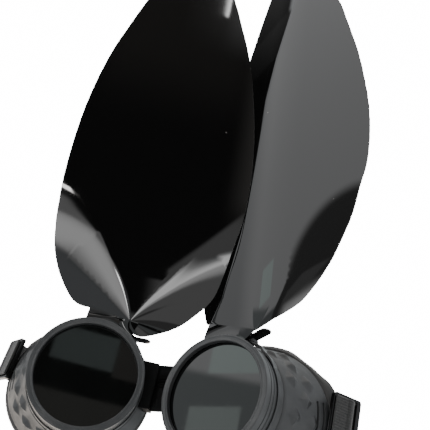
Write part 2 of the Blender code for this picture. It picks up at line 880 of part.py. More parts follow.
def lobe_bend(point, flex):
    """How far the two lower lobes bend back, as cones that spread from the pinch."""
    radius = point.length
    if radius < MERGE_DISTANCE:
        return 0.0
    angle = math.degrees(math.atan2(point.y, point.x))
    if angle < -90.0:
        angle += 360.0
    far_share = min(radius / EAR_WIDTH, 1.0)
    right_edge = lerp(66.0, 40.0, far_share)
    left_edge = lerp(100.0, 122.0, far_share)
    right_share = ease((right_edge - angle) / LOBE_RIGHT_SPREAD)
    left_share = ease((angle - left_edge) / LOBE_LEFT_SPREAD)
    reach = min(radius / EAR_WIDTH * 2, 1.0)
    return (flex["right_lobe"] * right_share + flex["left_lobe"] * left_share) * reach


def crease_across(up):
    """Where the crease lies across the ear at a height, along its named shares."""
    height = up / EAR_LENGTH
    for (start, low), (end, high) in zip(CREASE_SHARES, CREASE_SHARES[1:]):
        if height <= high:
            break
    share = min(max((height - low) / (high - low), 0.0), 1.0)
    return lerp(start, end, share) * EAR_WIDTH


def flexed(point, flex):
    """The ear's flat sheet bent in space: right half tilted and curled, lobes, then the crease."""
    right = max(point.x, 0.0)
    curled = max(point.x - EAR_WIDTH / 24, 0.0)
    back = flex["tilt"] * right + flex["curl"] * curled * curled / EAR_WIDTH
    back += lobe_bend(point, flex)
    past = crease_across(point.y) - point.x
    if past < -CREASE_SOFTNESS:
        past = 0.0
    elif past < CREASE_SOFTNESS:
        past = (past + CREASE_SOFTNESS) ** 2 / (4 * CREASE_SOFTNESS)
    angle = math.radians(flex["crease"])
    across = point.x + past * (1.0 - math.cos(angle))
    return Vector((across, back + past * math.sin(angle), point.y))


def ear(cup):
    """The leaf of sheet above the fold, as a fan of rings spread from the pinch."""
    edge = outline_points(cup)
    count = len(edge)
    points = [flexed(Vector((0.0, 0.0)), cup.flex)]
    for ring in range(1, EAR_RINGS + 1):
        share = (ring / EAR_RINGS) ** 0.9
        for corner in edge:
            points.append(flexed(corner * share, cup.flex))
    faces = [(0, 1 + i, 2 + i) for i in range(count - 1)]
    for ring in range(EAR_RINGS - 1):
        low = 1 + ring * count
        high = low + count
        for i in range(count - 1):
            faces.append((low + i, high + i, high + i + 1, low + i + 1))
    mesh = mesh_from(cup.named("ear"), points, faces)
    item = add_object(mesh.name, mesh, cup.fold, MATERIALS["ear"])
    return sheet_solid(item, False)


def sheet_solid(item, even):
    shell = item.modifiers.new("sheet", "SOLIDIFY")
    shell.thickness = EAR_SHEET
    shell.offset = 0.0
    shell.use_even_offset = even
    return item


def fold_end():
    """The fold's far end, in the flat sheet."""
    return Vector((-FOLD_WIDTH * math.cos(FOLD_SLOPE), FOLD_WIDTH * math.sin(FOLD_SLOPE)))


def fold_in_cup(cup):
    """The fold line's two ends in the cup's own frame, from the pinch to the far end."""
    to_cup = cup.axis.matrix_world.inverted() @ cup.fold.matrix_world
    return to_cup @ Vector((0.0, 0.0, 0.0)), to_cup @ flexed(fold_end(), cup.flex)


def ear_tab(cup):
    """The rest of the ear's sheet: down from the fold to the collar, then back along it as a foot."""
    pinch, far = fold_in_cup(cup)
    seat = COLLAR_RADIUS + CLEARANCE + EAR_SHEET / 2
    tops = []
    feet = []
    for column in range(TAB_COLUMNS + 1):
        top = pinch.lerp(far, lerp(TAB_INSET_SHARE, 1.0, column / TAB_COLUMNS))
        across = top.x * FOOT_SHARE
        height = math.sqrt(seat * seat - across * across)
        foot = Vector((across, FOOT_START, height))
        tops.append(top + (foot - top).normalized() * FOLD_GAP)
        feet.append(foot)
    rows = [tops]
    for share in TAB_ROW_SHARES:
        row = []
        for top, foot in zip(tops, feet):
            place = top.lerp(foot, share)
            place.y = lerp(foot.y, top.y, (1.0 - share) ** 2)
            row.append(place)
        rows.append(row)
    rows.append([foot + Vector((0.0, EAR_SHEET, 0.0)) for foot in feet])
    rows.append([foot + Vector((0.0, FOOT_LENGTH, 0.0)) for foot in feet])
    count = TAB_COLUMNS + 1
    points = [place for row in rows for place in row]
    faces = []
    for row in range(len(rows) - 1):
        low = row * count
        high = low + count
        for i in range(count - 1):
            faces.append((low + i, low + i + 1, high + i + 1, high + i))
    mesh = mesh_from(cup.named("ear_tab"), points, faces)
    item = add_object(mesh.name, mesh, cup.axis, MATERIALS["ear"])
    return sheet_solid(item, True)


def tie_radius(angle, foot_left, foot_right):
    """The band lies on the collar and steps up over the ear's foot."""
    low = COLLAR_RADIUS + CLEARANCE
    high = low + EAR_SHEET + CLEARANCE
    step = math.radians(6.0)
    rise = ease((angle - foot_right + 2 * step) / step) * ease((foot_left + 2 * step - angle) / step)
    return lerp(low, high, rise)


def ear_tie(cup):
    """A moulded tie band round the collar, with a square head and a free tail."""
    reach = COLLAR_RADIUS + CLEARANCE + EAR_SHEET / 2
    right_end, left_end = fold_in_cup(cup)
    foot_right = math.acos(right_end.x * FOOT_SHARE / reach)
    foot_left = math.acos(left_end.x * FOOT_SHARE / reach)
    front = TIE_DEPTH - TIE_WIDTH / 2
    back = TIE_DEPTH + TIE_WIDTH / 2
    rings = []
    for step in range(TIE_STEPS):
        angle = 2 * math.pi * step / TIE_STEPS
        inner = tie_radius(angle, foot_left, foot_right)
        outer = inner + TIE_THICKNESS
        across = math.cos(angle)
        up = math.sin(angle)
        rings.append(
            (
                Vector((across * inner, front, up * inner)),
                Vector((across * outer, front, up * outer)),
                Vector((across * outer, back, up * outer)),
                Vector((across * inner, back, up * inner)),
            )
        )
    mesh = loft(cup.named("ear_tie"), rings, looped=True)
    tie = add_object(mesh.name, mesh, cup.axis, MATERIALS["tie"])
    head_angle = TIE_HEAD_ANGLE - math.radians(6.0)
    radius = tie_radius(head_angle, foot_left, foot_right)
    centre = radius + TIE_HEAD_HEIGHT / 2
    place = (
        Matrix.Rotation(-head_angle, 4, "Y")
        @ Matrix.Translation(Vector((centre, TIE_DEPTH, 0.0)))
    )
    half = TIE_HEAD_WIDTH / 2
    head_mesh = box_mesh(
        cup.named("tie_head"),
        (-TIE_HEAD_HEIGHT / 2 + TIE_THICKNESS / 4, -half, -half),
        (TIE_HEAD_HEIGHT / 2, half, half),
    )
    boolean(tie, add_cutter(cup.named("tie_head"), head_mesh, cup.axis, place), "UNION")
    tail_start = place @ Vector((0.0, 0.0, 0.0))
    tail_turn = Matrix.Rotation(-TIE_TAIL_SWING, 4, "Z") @ Matrix.Rotation(-TIE_TAIL_LIFT, 4, "Y")
    tail_place = Matrix.Translation(tail_start) @ tail_turn
    tail_mesh = box_mesh(
        cup.named("tie_tail"),
        (0.0, -TIE_WIDTH / 2, -TIE_THICKNESS / 2),
        (TIE_TAIL_LENGTH, TIE_WIDTH / 2, TIE_THICKNESS / 2),
    )
    boolean(tie, add_cutter(cup.named("tie_tail"), tail_mesh, cup.axis, tail_place), "UNION")
    return tie


class Cup:
    """One eyecup's frames: its bridge hinge, its optical axis and its ear's fold."""

    def __init__(self, label, side, toe, ear_yaw, outline):
        self.label = label
        self.side = side
        self.outline = outline
        self.flex = EAR_FLEX[label]
        opening = Vector((side * EYE_SPACING / 2, -OPENING_FORWARD, 0.0))
        channel = Vector((-side * CHANNEL_OFFSET, CHANNEL_DEPTH, 0.0))
        turn = Matrix.Rotation(toe, 4, "Z")
        place = Matrix.Translation(opening + turn @ channel) @ turn
        self.hinge = place_empty(self.named("hinge"), None, place)
        roll = Matrix.Rotation(CUP_ROLL, 4, "Y")
        self.axis = place_empty(self.named("axis"), self.hinge, Matrix.Translation(-channel) @ roll)
        pinch = Vector((EAR_PINCH_RIGHT, EAR_PINCH_BACK, EAR_PINCH_UP))
        lean = Matrix.Rotation(ear_yaw, 4, "Z") @ Matrix.Rotation(EAR_PITCH, 4, "X")
        fold = Matrix.Translation(pinch - channel) @ lean
        self.fold = place_empty(self.named("fold"), self.hinge, fold)
        bpy.context.view_layer.update()

    def named(self, piece):
        return "%s_%s" % (self.label, piece)


clear_scene()
PARTS = new_collection(OBJECT_NAME)
CUTTERS = new_collection("cutters")
MATERIALS = {
    "shell": make_material("soft_cup_plastic", (0.030, 0.030, 0.032), 0.45),
    "ring": make_material("ring_plastic", (0.045, 0.045, 0.048), 0.32),
    "lens": make_material("tinted_lens", (0.020, 0.028, 0.026), 0.05),
    "rubber": make_material("black_rubber", (0.012, 0.012, 0.013), 0.50),
    "pad": make_material("face_pad_vinyl", (0.035, 0.035, 0.036), 0.60),
    "buckle": make_material("gloss_buckle", (0.010, 0.010, 0.011), 0.15),
    "webbing": make_material("ribbed_webbing", (0.014, 0.014, 0.015), 0.85),
    "ear": make_material("gloss_ear_sheet", (0.006, 0.006, 0.007), 0.05),
    "tie": make_material("tie_plastic", (0.012, 0.012, 0.013), 0.30),
}
LEFT = Cup("left", -1, LEFT_TOE_IN, LEFT_EAR_YAW, LEFT_EAR_SHARES)
RIGHT = Cup("right", 1, -RIGHT_TOE_IN, RIGHT_EAR_YAW, RIGHT_EAR_SHARES)
for eyecup in (LEFT, RIGHT):
    cup_shell(eyecup)
    lens_ring(eyecup)
    lens(eyecup)
    lens_gasket(eyecup)
    face_pad(eyecup)
    side_buckle(eyecup)
    ear(eyecup)
    ear_tab(eyecup)
    ear_tie(eyecup)
    head_strap(eyecup)
nose_bridge(LEFT, RIGHT)
strap_slide()
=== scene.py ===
"""Costume goggles: the look of the eyecups, bridge, strap and tall sheet ears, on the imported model.

Metres, +Z up, the goggles face -Y. Lengths that repeat the model's source carry the same names here.
"""
import math
from math import acos, cos, hypot, pi, radians, sin, sqrt
import bmesh
import bpy
from mathutils import Matrix, Vector, noise
from mathutils.geometry import delaunay_2d_cdt
from mathutils.kdtree import KDTree


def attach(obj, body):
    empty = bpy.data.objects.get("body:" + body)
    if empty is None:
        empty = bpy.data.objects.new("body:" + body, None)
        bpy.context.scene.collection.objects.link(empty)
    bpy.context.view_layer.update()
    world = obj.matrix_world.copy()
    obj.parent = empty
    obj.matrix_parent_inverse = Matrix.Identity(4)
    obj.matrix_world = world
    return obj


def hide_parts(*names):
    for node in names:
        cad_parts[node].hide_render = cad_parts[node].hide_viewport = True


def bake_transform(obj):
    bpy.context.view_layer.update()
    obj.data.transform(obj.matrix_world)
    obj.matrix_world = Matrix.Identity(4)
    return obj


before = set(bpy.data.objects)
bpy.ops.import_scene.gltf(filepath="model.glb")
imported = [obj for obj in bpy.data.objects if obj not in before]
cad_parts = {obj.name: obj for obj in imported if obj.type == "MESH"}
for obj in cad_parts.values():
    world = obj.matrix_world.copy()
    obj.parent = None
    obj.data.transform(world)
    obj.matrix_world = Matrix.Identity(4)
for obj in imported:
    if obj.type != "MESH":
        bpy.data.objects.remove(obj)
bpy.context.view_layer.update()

# ---- values shared with the model
CLEARANCE = 0.0003
OPENING_FORWARD = 0.0345
NOSE_HALF_GAP = 0.0027
LEFT_TOE_IN = radians(18.9)
RIGHT_TOE_IN = radians(23.2)
CUP_ROLL = radians(4)
OPENING_RADIUS = 0.0250
LIP_LENGTH = 0.0026
RING_LENGTH = 0.0074
SKIRT_RADIUS = 0.0272
RING_RADIUS = 0.0284
NECK_RADIUS = 0.0269
NECK_FRONT = 0.0058
COLLAR_RADIUS = 0.0285
COLLAR_START = 0.0077
COLLAR_END = 0.0180
WALL = 0.0020
FLARE_STEP = 0.0008
RIM_HALF_WIDTH = 0.0375
RIM_HALF_HEIGHT = 0.0350
RIM_TEMPLE_SHIFT = 0.0035
RIM_DEPTH = 0.0355
RIM_SWEEP = 0.0078
VENT_HEIGHT = 0.0240
VENT_WIDTH = 0.0013
VENT_PITCH = 0.0036
VENT_DEPTH = 0.0335
VENT_SET_BACK = 0.0028
PAD_LENGTH = 0.0042
PAD_WIDTH = 0.0030
PAD_FLARE = 0.0008
BRIDGE_RISE = 0.0060
BRIDGE_HEIGHT = 0.0240
BRIDGE_THICKNESS = 0.0017
BRIDGE_RELIEF = 0.0016
BRIDGE_BOW = 0.0012
BRIDGE_CLIMB = 0.0022
BEAD_RADIUS = 0.0021
CHANNEL_WALL = 0.0018
CHANNEL_DEPTH = 0.0215
CHANNEL_OFFSET = COLLAR_RADIUS + 0.0051
CHANNEL_BACK_RADIUS = COLLAR_RADIUS + 0.0005
MOUTH_BACK = radians(48)
MOUTH_FRONT = radians(76)
BUCKLE_HEIGHT = 0.0228
BUCKLE_LENGTH = 0.0166
BUCKLE_THICKNESS = 0.0024
BUCKLE_ANGLE = radians(29.5)
BUCKLE_START = (0.0416, 0.0404, 0.0063)
BUCKLE_CORNER = 0.0018
BAR_WIDTH = 0.0024
SLOT_WIDTH = 0.0034
SLOT_END_BAR = 0.0012
STRAP_WIDTH = 0.0196
STRAP_THICKNESS = 0.0012
STRAP_PLIES_APART = 0.0015
STRAP_REAR = 0.1350
REAR_LEVEL = -0.0177
STRAP_SIDE_PULL = 0.0300
STRAP_REAR_PULL = 0.0320
STRAP_OVERLAP = 0.0400
STRAP_STEPS = 18
FOLD_STEPS = 6
SLIDE_LENGTH = 0.0090
SLIDE_FRAME = 0.0020
SLIDE_BAR = 0.0016
EAR_LENGTH = 0.3050
EAR_WIDTH = 0.1160
EAR_SHEET = 0.0008
EAR_PINCH = (0.0136, 0.0063, COLLAR_RADIUS + 0.0044)
EAR_PITCH = radians(4)
LEFT_EAR_YAW = radians(-18)
RIGHT_EAR_YAW = radians(-15)
# The fold at each ear's foot, from the pinch outward
FOLD_WIDTH = {"left": 0.0262, "right": 0.0323}
FOLD_SLOPE = radians(13)
FOOT_SHARE = 0.9
FOOT_START = 0.0086
FOOT_LENGTH = 0.0072
TIE_WIDTH = 0.0057
TIE_THICKNESS = 0.0011
TIE_DEPTH = 0.0132
TIE_HEAD_WIDTH = 0.0062
TIE_HEAD_HEIGHT = 0.0030
# Each tie's head angle, tail swing and lift in degrees, and tail length
TIE_POSE = {"left": (61, 4, 5, 0.0096), "right": (79, 29, 8.5, 0.0155)}
TIE_TAIL_RISE = 0.0006
TIE_FLAT = 0.3
# Corners closer than this are one
MERGE = 0.00001

# Each ear's outline, as shares of its width and length, from the fold round by the tip to the pinch
SHARED_SHARES = (
    (-0.316, 0.029), (-0.418, 0.073), (-0.480, 0.120), (-0.514, 0.170), (-0.535, 0.222), (-0.552, 0.279),
    (-0.562, 0.339), (-0.567, 0.402), (-0.563, 0.469), (-0.546, 0.540), (-0.516, 0.614), (-0.463, 0.692),
    (-0.400, 0.774), (-0.319, 0.859), (-0.233, 0.938), (-0.147, 1),
)
LEFT_EAR_SHARES = SHARED_SHARES + (
    (-0.060, 0.944), (0.034, 0.872), (0.145, 0.780), (0.220, 0.702), (0.286, 0.628), (0.336, 0.558),
    (0.371, 0.492), (0.401, 0.429), (0.421, 0.369), (0.434, 0.312), (0.436, 0.257), (0.428, 0.204),
    (0.406, 0.153), (0.382, 0.106), (0.344, 0.061), (0.258, 0.022), (0.179, -0.002), (0.077, -0.021),
    (0.030, -0.0215), (0.006, -0.0150), (0, 0),
)
RIGHT_EAR_SHARES = SHARED_SHARES + (
    (-0.052, 0.954), (0.043, 0.895), (0.138, 0.830), (0.224, 0.761), (0.289, 0.703), (0.327, 0.649),
    (0.363, 0.595), (0.392, 0.548), (0.415, 0.501), (0.442, 0.427), (0.451, 0.359), (0.442, 0.296),
    (0.414, 0.246), (0.380, 0.188), (0.320, 0.126), (0.279, 0.095), (0.234, 0.068), (0.183, 0.044),
    (0.121, 0.027), (0.061, 0.014), (0, 0),
)
# The crease, as (share of the length, share of the width)
CREASE_SHARES = (
    (-0.033, -0.328), (0.020, -0.267), (0.066, -0.211), (0.138, -0.168), (0.187, -0.141), (0.246, -0.121),
    (0.311, -0.108), (0.390, -0.099), (0.492, -0.088), (0.600, -0.048), (0.731, 0.022), (1, 0.120),
)
# How each leaf bends: slopes right and left of the pinch, lobes, crease in degrees, and the pocket at its foot
EAR_FLEX = {
    "left": {"slope": -0.03, "left_slope": 0, "right_lobe": 0.018, "left_lobe": 0.008, "crease": 0,
             "pocket": 0.0016},
    "right": {"slope": 0.34, "left_slope": 0.08, "right_lobe": 0.0045, "left_lobe": 0.001, "crease": 21,
              "pocket": 0},
}

# ---- camera
CAMERA_PLACE = (0.08394, -0.31257, -0.07878)
CAMERA_RIGHT = (0.97455, 0.12714, 0.18461)
CAMERA_DOWN = (0.08656, 0.54627, -0.83313)
CAMERA_FORWARD = (-0.20677, 0.82791, 0.52136)
CAMERA_LENS = 50.99
SENSOR = 36


def make_camera():
    data = bpy.data.cameras.new("camera")
    data.sensor_width = SENSOR
    data.sensor_fit = "HORIZONTAL"
    data.lens = CAMERA_LENS
    camera = new_object("camera", data)
    axes = Matrix((CAMERA_RIGHT, -Vector(CAMERA_DOWN), -Vector(CAMERA_FORWARD))).transposed()
    camera.matrix_world = Matrix.Translation(CAMERA_PLACE) @ axes.to_4x4()
    bpy.context.scene.camera = camera


# ---- mesh helpers
def ease(share):
    share = min(max(share, 0), 1)
    return share * share * (3 - 2 * share)


def lerp(start, end, share):
    return start + (end - start) * share


def looked_up(table, key, smooth=False):
    """The value at a key of a table of (key, value), between the rows on its two sides."""
    for (start, low), (end, high) in zip(table, table[1:]):
        if key <= end:
            break
    share = min(max((key - start) / (end - start), 0), 1)
    return lerp(low, high, ease(share) if smooth else share)


def vec(*parts):
    return Vector(parts)


def lift_by(height):
    return vec(0, 0, height)


def back_by(length):
    return vec(0, length, 0)


def around(count):
    """Angles spread evenly round a circle."""
    return [2 * pi * step / count for step in range(count)]


def even_shares(count):
    """0 to 1 in so many even steps."""
    return [step / count for step in range(count + 1)]


def bearing_of(x, y):
    """The direction of a flat vector in degrees, from -180 to 180."""
    return math.degrees(math.atan2(y, x))


def polar(radius, angle, back, side=1):
    """A point about a cup's axis; side -1 mirrors it for the left cup."""
    return vec(side * radius * cos(angle), back, radius * sin(angle))


def new_object(name, data):
    item = bpy.data.objects.new(name, data)
    bpy.context.scene.collection.objects.link(item)
    return item


def smooth_by_angle(mesh, degrees):
    mesh.shade_smooth()
    mesh.set_sharp_from_angle(angle=radians(degrees))


def mesh_of(name, grid):
    mesh = bpy.data.meshes.new(name)
    grid.to_mesh(mesh)
    grid.free()
    return mesh


def welded(mesh, flat=False):
    """Joins doubled corners, and flat neighbours where asked, and turns the faces outward."""
    grid = bmesh.new()
    grid.from_mesh(mesh)
    bmesh.ops.remove_doubles(grid, verts=grid.verts, dist=MERGE)
    if flat:
        bmesh.ops.dissolve_limit(grid, angle_limit=radians(1), verts=grid.verts, edges=grid.edges)
    bmesh.ops.recalc_face_normals(grid, faces=grid.faces)
    grid.to_mesh(mesh)
    grid.free()
    return mesh


def mesh_from(name, points, faces, degrees=35):
    mesh = bpy.data.meshes.new(name)
    mesh.from_pydata([tuple(point) for point in points], [], faces)
    smooth_by_angle(welded(mesh), degrees)
    return mesh


def lofted(name, rings, looped=False, degrees=35):
    """Skin between sections of equal count; the last joins the first, or both ends are capped."""
    count = len(rings[0])
    points = [point for ring in rings for point in ring]
    faces = []
    for row in range(len(rings) if looped else len(rings) - 1):
        this = row * count
        after = ((row + 1) % len(rings)) * count
        for column in range(count):
            beside = (column + 1) % count
            faces.append((this + column, this + beside, after + beside, after + column))
    if not looped:
        faces.append(tuple(range(count)))
        faces.append(tuple(reversed(range(len(points) - count, len(points)))))
    return new_object(name, mesh_from(name, points, faces, degrees))


def rounded_corners(corners, steps=4):
    """A closed outline whose corners (x, y, radius) are rounded."""
    outline = []
    count = len(corners)
    for index, (x, y, radius) in enumerate(corners):
        here = vec(x, y)
        before = Vector(corners[index - 1][:2]) - here
        after = Vector(corners[(index + 1) % count][:2]) - here
        if radius <= 0:
            outline.append(here)
            continue
        first = here + before.normalized() * min(radius, before.length / 2)
        last = here + after.normalized() * min(radius, after.length / 2)
        for share in even_shares(steps):
            outline.append(first.lerp(here, share).lerp(here.lerp(last, share), share))
    return outline


def turned(name, outline, matrix, steps=160):
    """An outline of (radius, back) turned about a cup's axis."""
    rings = [[polar(radius, angle, back) for radius, back in outline] for angle in around(steps)]
    return place(lofted(name, rings, True, 40), matrix)


def evaluated(item):
    """The item's mesh with its modifiers, or its curve's fill, as a mesh of its own."""
    bpy.context.view_layer.update()
    graph = bpy.context.evaluated_depsgraph_get()
    return bpy.data.meshes.new_from_object(item.evaluated_get(graph))


def settle(item, degrees=None):
    """Makes the modifiers' result the piece's own mesh."""
    mesh = evaluated(item)
    item.modifiers.clear()
    item.data = mesh
    if degrees is not None:
        smooth_by_angle(mesh, degrees)
    return item


def bevelled(item, width, segments):
    bevel = item.modifiers.new("bevel", "BEVEL")
    bevel.width = width
    bevel.segments = segments
    bevel.limit_method = "ANGLE"
    bevel.angle_limit = radians(30)
    return settle(item, 40)


def cut(item, cutters, operation="DIFFERENCE"):
    """Takes the cutters away from the item, or joins them to it, and removes them."""
    for cutter in cutters:
        change = item.modifiers.new("cut", "BOOLEAN")
        change.operation = operation
        change.solver = "EXACT"
        change.object = cutter
    settle(item)
    for cutter in cutters:
        bpy.data.objects.remove(cutter, do_unlink=True)
    return item


def rod(name, radius, height, centre, segments, along_back=False):
    grid = bmesh.new()
    turn = Matrix.Rotation(pi / 2, 4, "X") if along_back else Matrix.Identity(4)
    bmesh.ops.create_cone(grid, cap_ends=True, segments=segments, radius1=radius, radius2=radius,
                          depth=height, matrix=Matrix.Translation(centre) @ turn)
    return new_object(name, mesh_of(name, grid))


def block(name, low, high):
    grid = bmesh.new()
    centre = (Vector(low) + Vector(high)) / 2
    size = Vector(high) - Vector(low)
    bmesh.ops.create_cube(grid, size=1, matrix=Matrix.Translation(centre) @ Matrix.Diagonal((*size, 1)))
    return new_object(name, mesh_of(name, grid))


def place(item, matrix):
    item.data.transform(matrix)
    return item


def rounded_rectangle(low, high, corner, steps=5):
    (left, bottom), (right, top) = low, high
    corners = ((left, bottom), (right, bottom), (right, top), (left, top))
    return rounded_corners([(x, y, corner) for x, y in corners], steps)


def plate(name, outlines, thickness, matrix, bevel):
    """A flat plate from 2D outlines with rounded edges: the first is its edge, the rest are holes."""
    curve = bpy.data.curves.new(name, "CURVE")
    curve.dimensions = "2D"
    curve.fill_mode = "BOTH"
    curve.extrude = thickness / 2
    for outline in outlines:
        spline = curve.splines.new("POLY")
        spline.points.add(len(outline) - 1)
        for corner, point in zip(spline.points, outline):
            corner.co = (point[0], point[1], 0, 1)
        spline.use_cyclic_u = True
    solid = new_object(name + "_curve", curve)
    mesh = evaluated(solid)
    mesh.name = name
    bpy.data.objects.remove(solid, do_unlink=True)
    return place(bevelled(new_object(name, welded(mesh, flat=True)), bevel, 3), matrix)


def joined(name, items):
    """Several closed meshes as one piece."""
    grid = bmesh.new()
    for item in items:
        grid.from_mesh(item.data)
        bpy.data.objects.remove(item, do_unlink=True)
    mesh = mesh_of(name, grid)
    smooth_by_angle(mesh, 40)
    return new_object(name, mesh)


# ---- materials
# A mix node's sockets by kind: first and second value, and result
MIX_SOCKETS = {"RGBA": (6, 7, 2), "VECTOR": (4, 5, 1)}


class Nodes:
    """A node tree with short calls for what the materials repeat."""

    def __init__(self, tree):
        self.tree = tree

    def add(self, kind, *values, **sockets):
        """A node with its first sockets set in order, and others by name."""
        node = self.tree.nodes.new(kind)
        for key, value in (*enumerate(values), *sockets.items()):
            self.put(node, key, value)
        return node

    def put(self, node, key, value):
        socket = node.inputs[key]
        if isinstance(value, bpy.types.NodeSocket):
            self.tree.links.new(value, socket)
        else:
            socket.default_value = value

    def maths(self, operation, first, second=0, third=0):
        node = self.add("ShaderNodeMath", first, second, third)
        node.operation = operation
        return node.outputs[0]

    def between(self, value, low, high, new_low=0, new_high=1):
        node = self.add("ShaderNodeMapRange", value, low, high, new_low, new_high)
        node.interpolation_type = "SMOOTHSTEP"
        return node.outputs[0]

    def mix(self, share, first, second, kind="RGBA"):
        node = self.tree.nodes.new("ShaderNodeMix")
        node.data_type = kind
        low, high, result = MIX_SOCKETS[kind]
        for key, value in ((0, share), (low, first), (high, second)):
            self.put(node, key, value)
        return node.outputs[result]

    def noise(self, scale, detail=3, stretch=None):
        place = self.add("ShaderNodeTexCoord").outputs["Object"]
        if stretch:
            mapping = self.add("ShaderNodeMapping", Vector=place, Scale=stretch)
            place = mapping.outputs[0]
        return self.add("ShaderNodeTexNoise", Vector=place, Scale=scale, Detail=detail).outputs[0]

    def bump(self, shader, strength, distance, height):
        node = self.add("ShaderNodeBump", Strength=strength, Distance=distance, Height=height)
        self.put(shader, "Normal", node.outputs[0])


def grey(value, warm=0):
    return (value * (1 + warm), value, value * (1 - warm), 1)


def new_material(name):
    """A material, its node calls and its shader."""
    material = bpy.data.materials.new(name)
    material.use_nodes = True
    return material, Nodes(material.node_tree), material.node_tree.nodes["Principled BSDF"]


def finish(name, dark, light, rough, grain, bump, mottling=60, spread=0.06, **uniform):
    """A moulded or rubbery material: mottled colour, uneven roughness and a fine grain."""
    material, nodes, shader = new_material(name)
    cloud = nodes.noise(mottling, 4)
    fine = nodes.noise(grain, 2)
    nodes.put(shader, "Base Color", nodes.mix(nodes.between(cloud, 0.35, 0.68), dark, light))
    patches = nodes.noise(mottling * 3)
    nodes.put(shader, "Roughness", nodes.between(patches, 0.3, 0.7, rough - spread, rough + spread))
    nodes.bump(shader, bump, 0.0002, fine)
    for key, value in uniform.items():
        shader.inputs[key.replace("_", " ")].default_value = value
    return material


def sheet_material(name, colour, rough, specks):
    """Gloss-black plastic sheet: slow ripples, light haze and a few specks of dust."""
    material, nodes, shader = new_material(name)
    place_on = nodes.add("ShaderNodeTexCoord").outputs["Object"]
    dots = nodes.add("ShaderNodeTexVoronoi", Vector=place_on, Scale=95)
    dust = nodes.between(dots.outputs["Distance"], 0.010, 0.034, specks, 0)
    rare = nodes.between(nodes.noise(31), 0.56, 0.62)
    dust = nodes.maths("MULTIPLY", dust, rare)
    nodes.put(shader, "Base Color", nodes.mix(dust, colour, grey(0.45, 0.05)))
    haze = nodes.between(nodes.noise(14, 4), 0.4, 0.75, rough, rough + 0.025)
    nodes.put(shader, "Roughness", nodes.maths("ADD", haze, nodes.maths("MULTIPLY", dust, 0.5)))
    nodes.bump(shader, 0.05, 0.0008, nodes.noise(9, 1))
    shader.inputs["IOR"].default_value = 1.5
    return material


make_camera()
MATERIALS = {
    "shell": finish("soft_cup_plastic", grey(0.025, -0.05), grey(0.038, -0.02), 0.42, 2600, 0.35),
    "ring": finish("ring_plastic", grey(0.026, -0.05), grey(0.040, -0.02), 0.34, 3400, 0.22),
    "rubber": finish("black_rubber", grey(0.002), grey(0.005), 0.55, 2200, 0.30, Specular_IOR_Level=0.12),
    "pad": finish("face_pad_vinyl", grey(0.026, 0.04), grey(0.044, 0.06), 0.52, 1500, 0.60,
                  Sheen_Weight=0.2),
    "buckle": finish("gloss_buckle", grey(0.003), grey(0.006), 0.18, 1800, 0.06, Specular_IOR_Level=0.3),
    "webbing": finish("ribbed_webbing", grey(0.010), grey(0.026, 0.02), 0.82, 5200, 0.85, 900,
                      Sheen_Weight=0.35, Sheen_Roughness=0.5),
    "tie": finish("tie_plastic", grey(0.003), grey(0.006), 0.26, 1700, 0.12, Specular_IOR_Level=0.35),
    "ear": sheet_material("gloss_ear_sheet", grey(0.0009), 0.020, 0.9),
    # Pale grey on the sheet's cut edge faces, and on a thin strip of the left ear's front face along its
    # outline as a painted highlight.
    "edge": finish("pale_edge_and_painted_highlight", grey(0.10), grey(0.30, 0.03), 0.45, 1300, 0.5, 260),
    "lens": finish("tinted_lens", (0.0010, 0.0013, 0.0012, 1), (0.0015, 0.0019, 0.0017, 1), 0.03,
                   40, 0, spread=0.01, IOR=1.5),
}


def paint(mesh, *looks):
    for look in looks:
        mesh.materials.append(MATERIALS[look])


def dress(item, body, look, slot, *nodes):
    """Gives a piece its material and body, and hides the nodes that it stands for; the slot is not used."""
    if look:
        item.data.materials.clear()
        paint(item.data, look)
    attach(item, body)
    if nodes:
        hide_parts(*nodes)
    return item


# ---- frames of the two cups
class Cup:
    """One eyecup's frames: its bridge hinge, its optical axis and its ear's fold."""

    def __init__(self, label, side, toe, ear_yaw, outline):
        self.label = label
        self.side = side
        self.outline = outline
        self.flex = EAR_FLEX[label]
        opening = vec(side * (COLLAR_RADIUS + NOSE_HALF_GAP), -OPENING_FORWARD, 0)
        channel = vec(-side * CHANNEL_OFFSET, CHANNEL_DEPTH, 0)
        turn = Matrix.Rotation(toe, 4, "Z")
        self.hinge = Matrix.Translation(opening + turn @ channel) @ turn
        self.axis = self.hinge @ Matrix.Translation(-channel) @ Matrix.Rotation(CUP_ROLL, 4, "Y")
        lean = Matrix.Rotation(ear_yaw, 4, "Z") @ Matrix.Rotation(EAR_PITCH, 4, "X")
        self.fold = self.hinge @ Matrix.Translation(Vector(EAR_PINCH) - channel) @ lean

    def named(self, piece):
        return "%s_%s" % (self.label, piece)


# ---- screw ring, shell and pad
GROOVE_FRONT = 0.0045
GROOVE_DEPTH = 0.0004
RING_OUTLINE = (
    (OPENING_RADIUS, 0, 0.00045),
    (OPENING_RADIUS + 0.00085, 0, 0.00025),
    (OPENING_RADIUS + 0.00105, 0.00022, 0.0002),
    (RING_RADIUS - 0.00105, 0.00014, 0.0002),
    (RING_RADIUS - 0.00085, 0, 0.0002),
    (RING_RADIUS, 0, 0.00065),
    (RING_RADIUS, GROOVE_FRONT, 0.0001),
    (RING_RADIUS - GROOVE_DEPTH, GROOVE_FRONT + 0.0001, 0.0001),
    (RING_RADIUS - GROOVE_DEPTH, GROOVE_FRONT + 0.0005, 0.0001),
    (RING_RADIUS, GROOVE_FRONT + 0.0006, 0.0001),
    (RING_RADIUS, RING_LENGTH, 0.0003),
    (SKIRT_RADIUS, RING_LENGTH, 0.0001),
    (SKIRT_RADIUS, LIP_LENGTH, 0.0001),
    (OPENING_RADIUS, LIP_LENGTH, 0.00015),
)
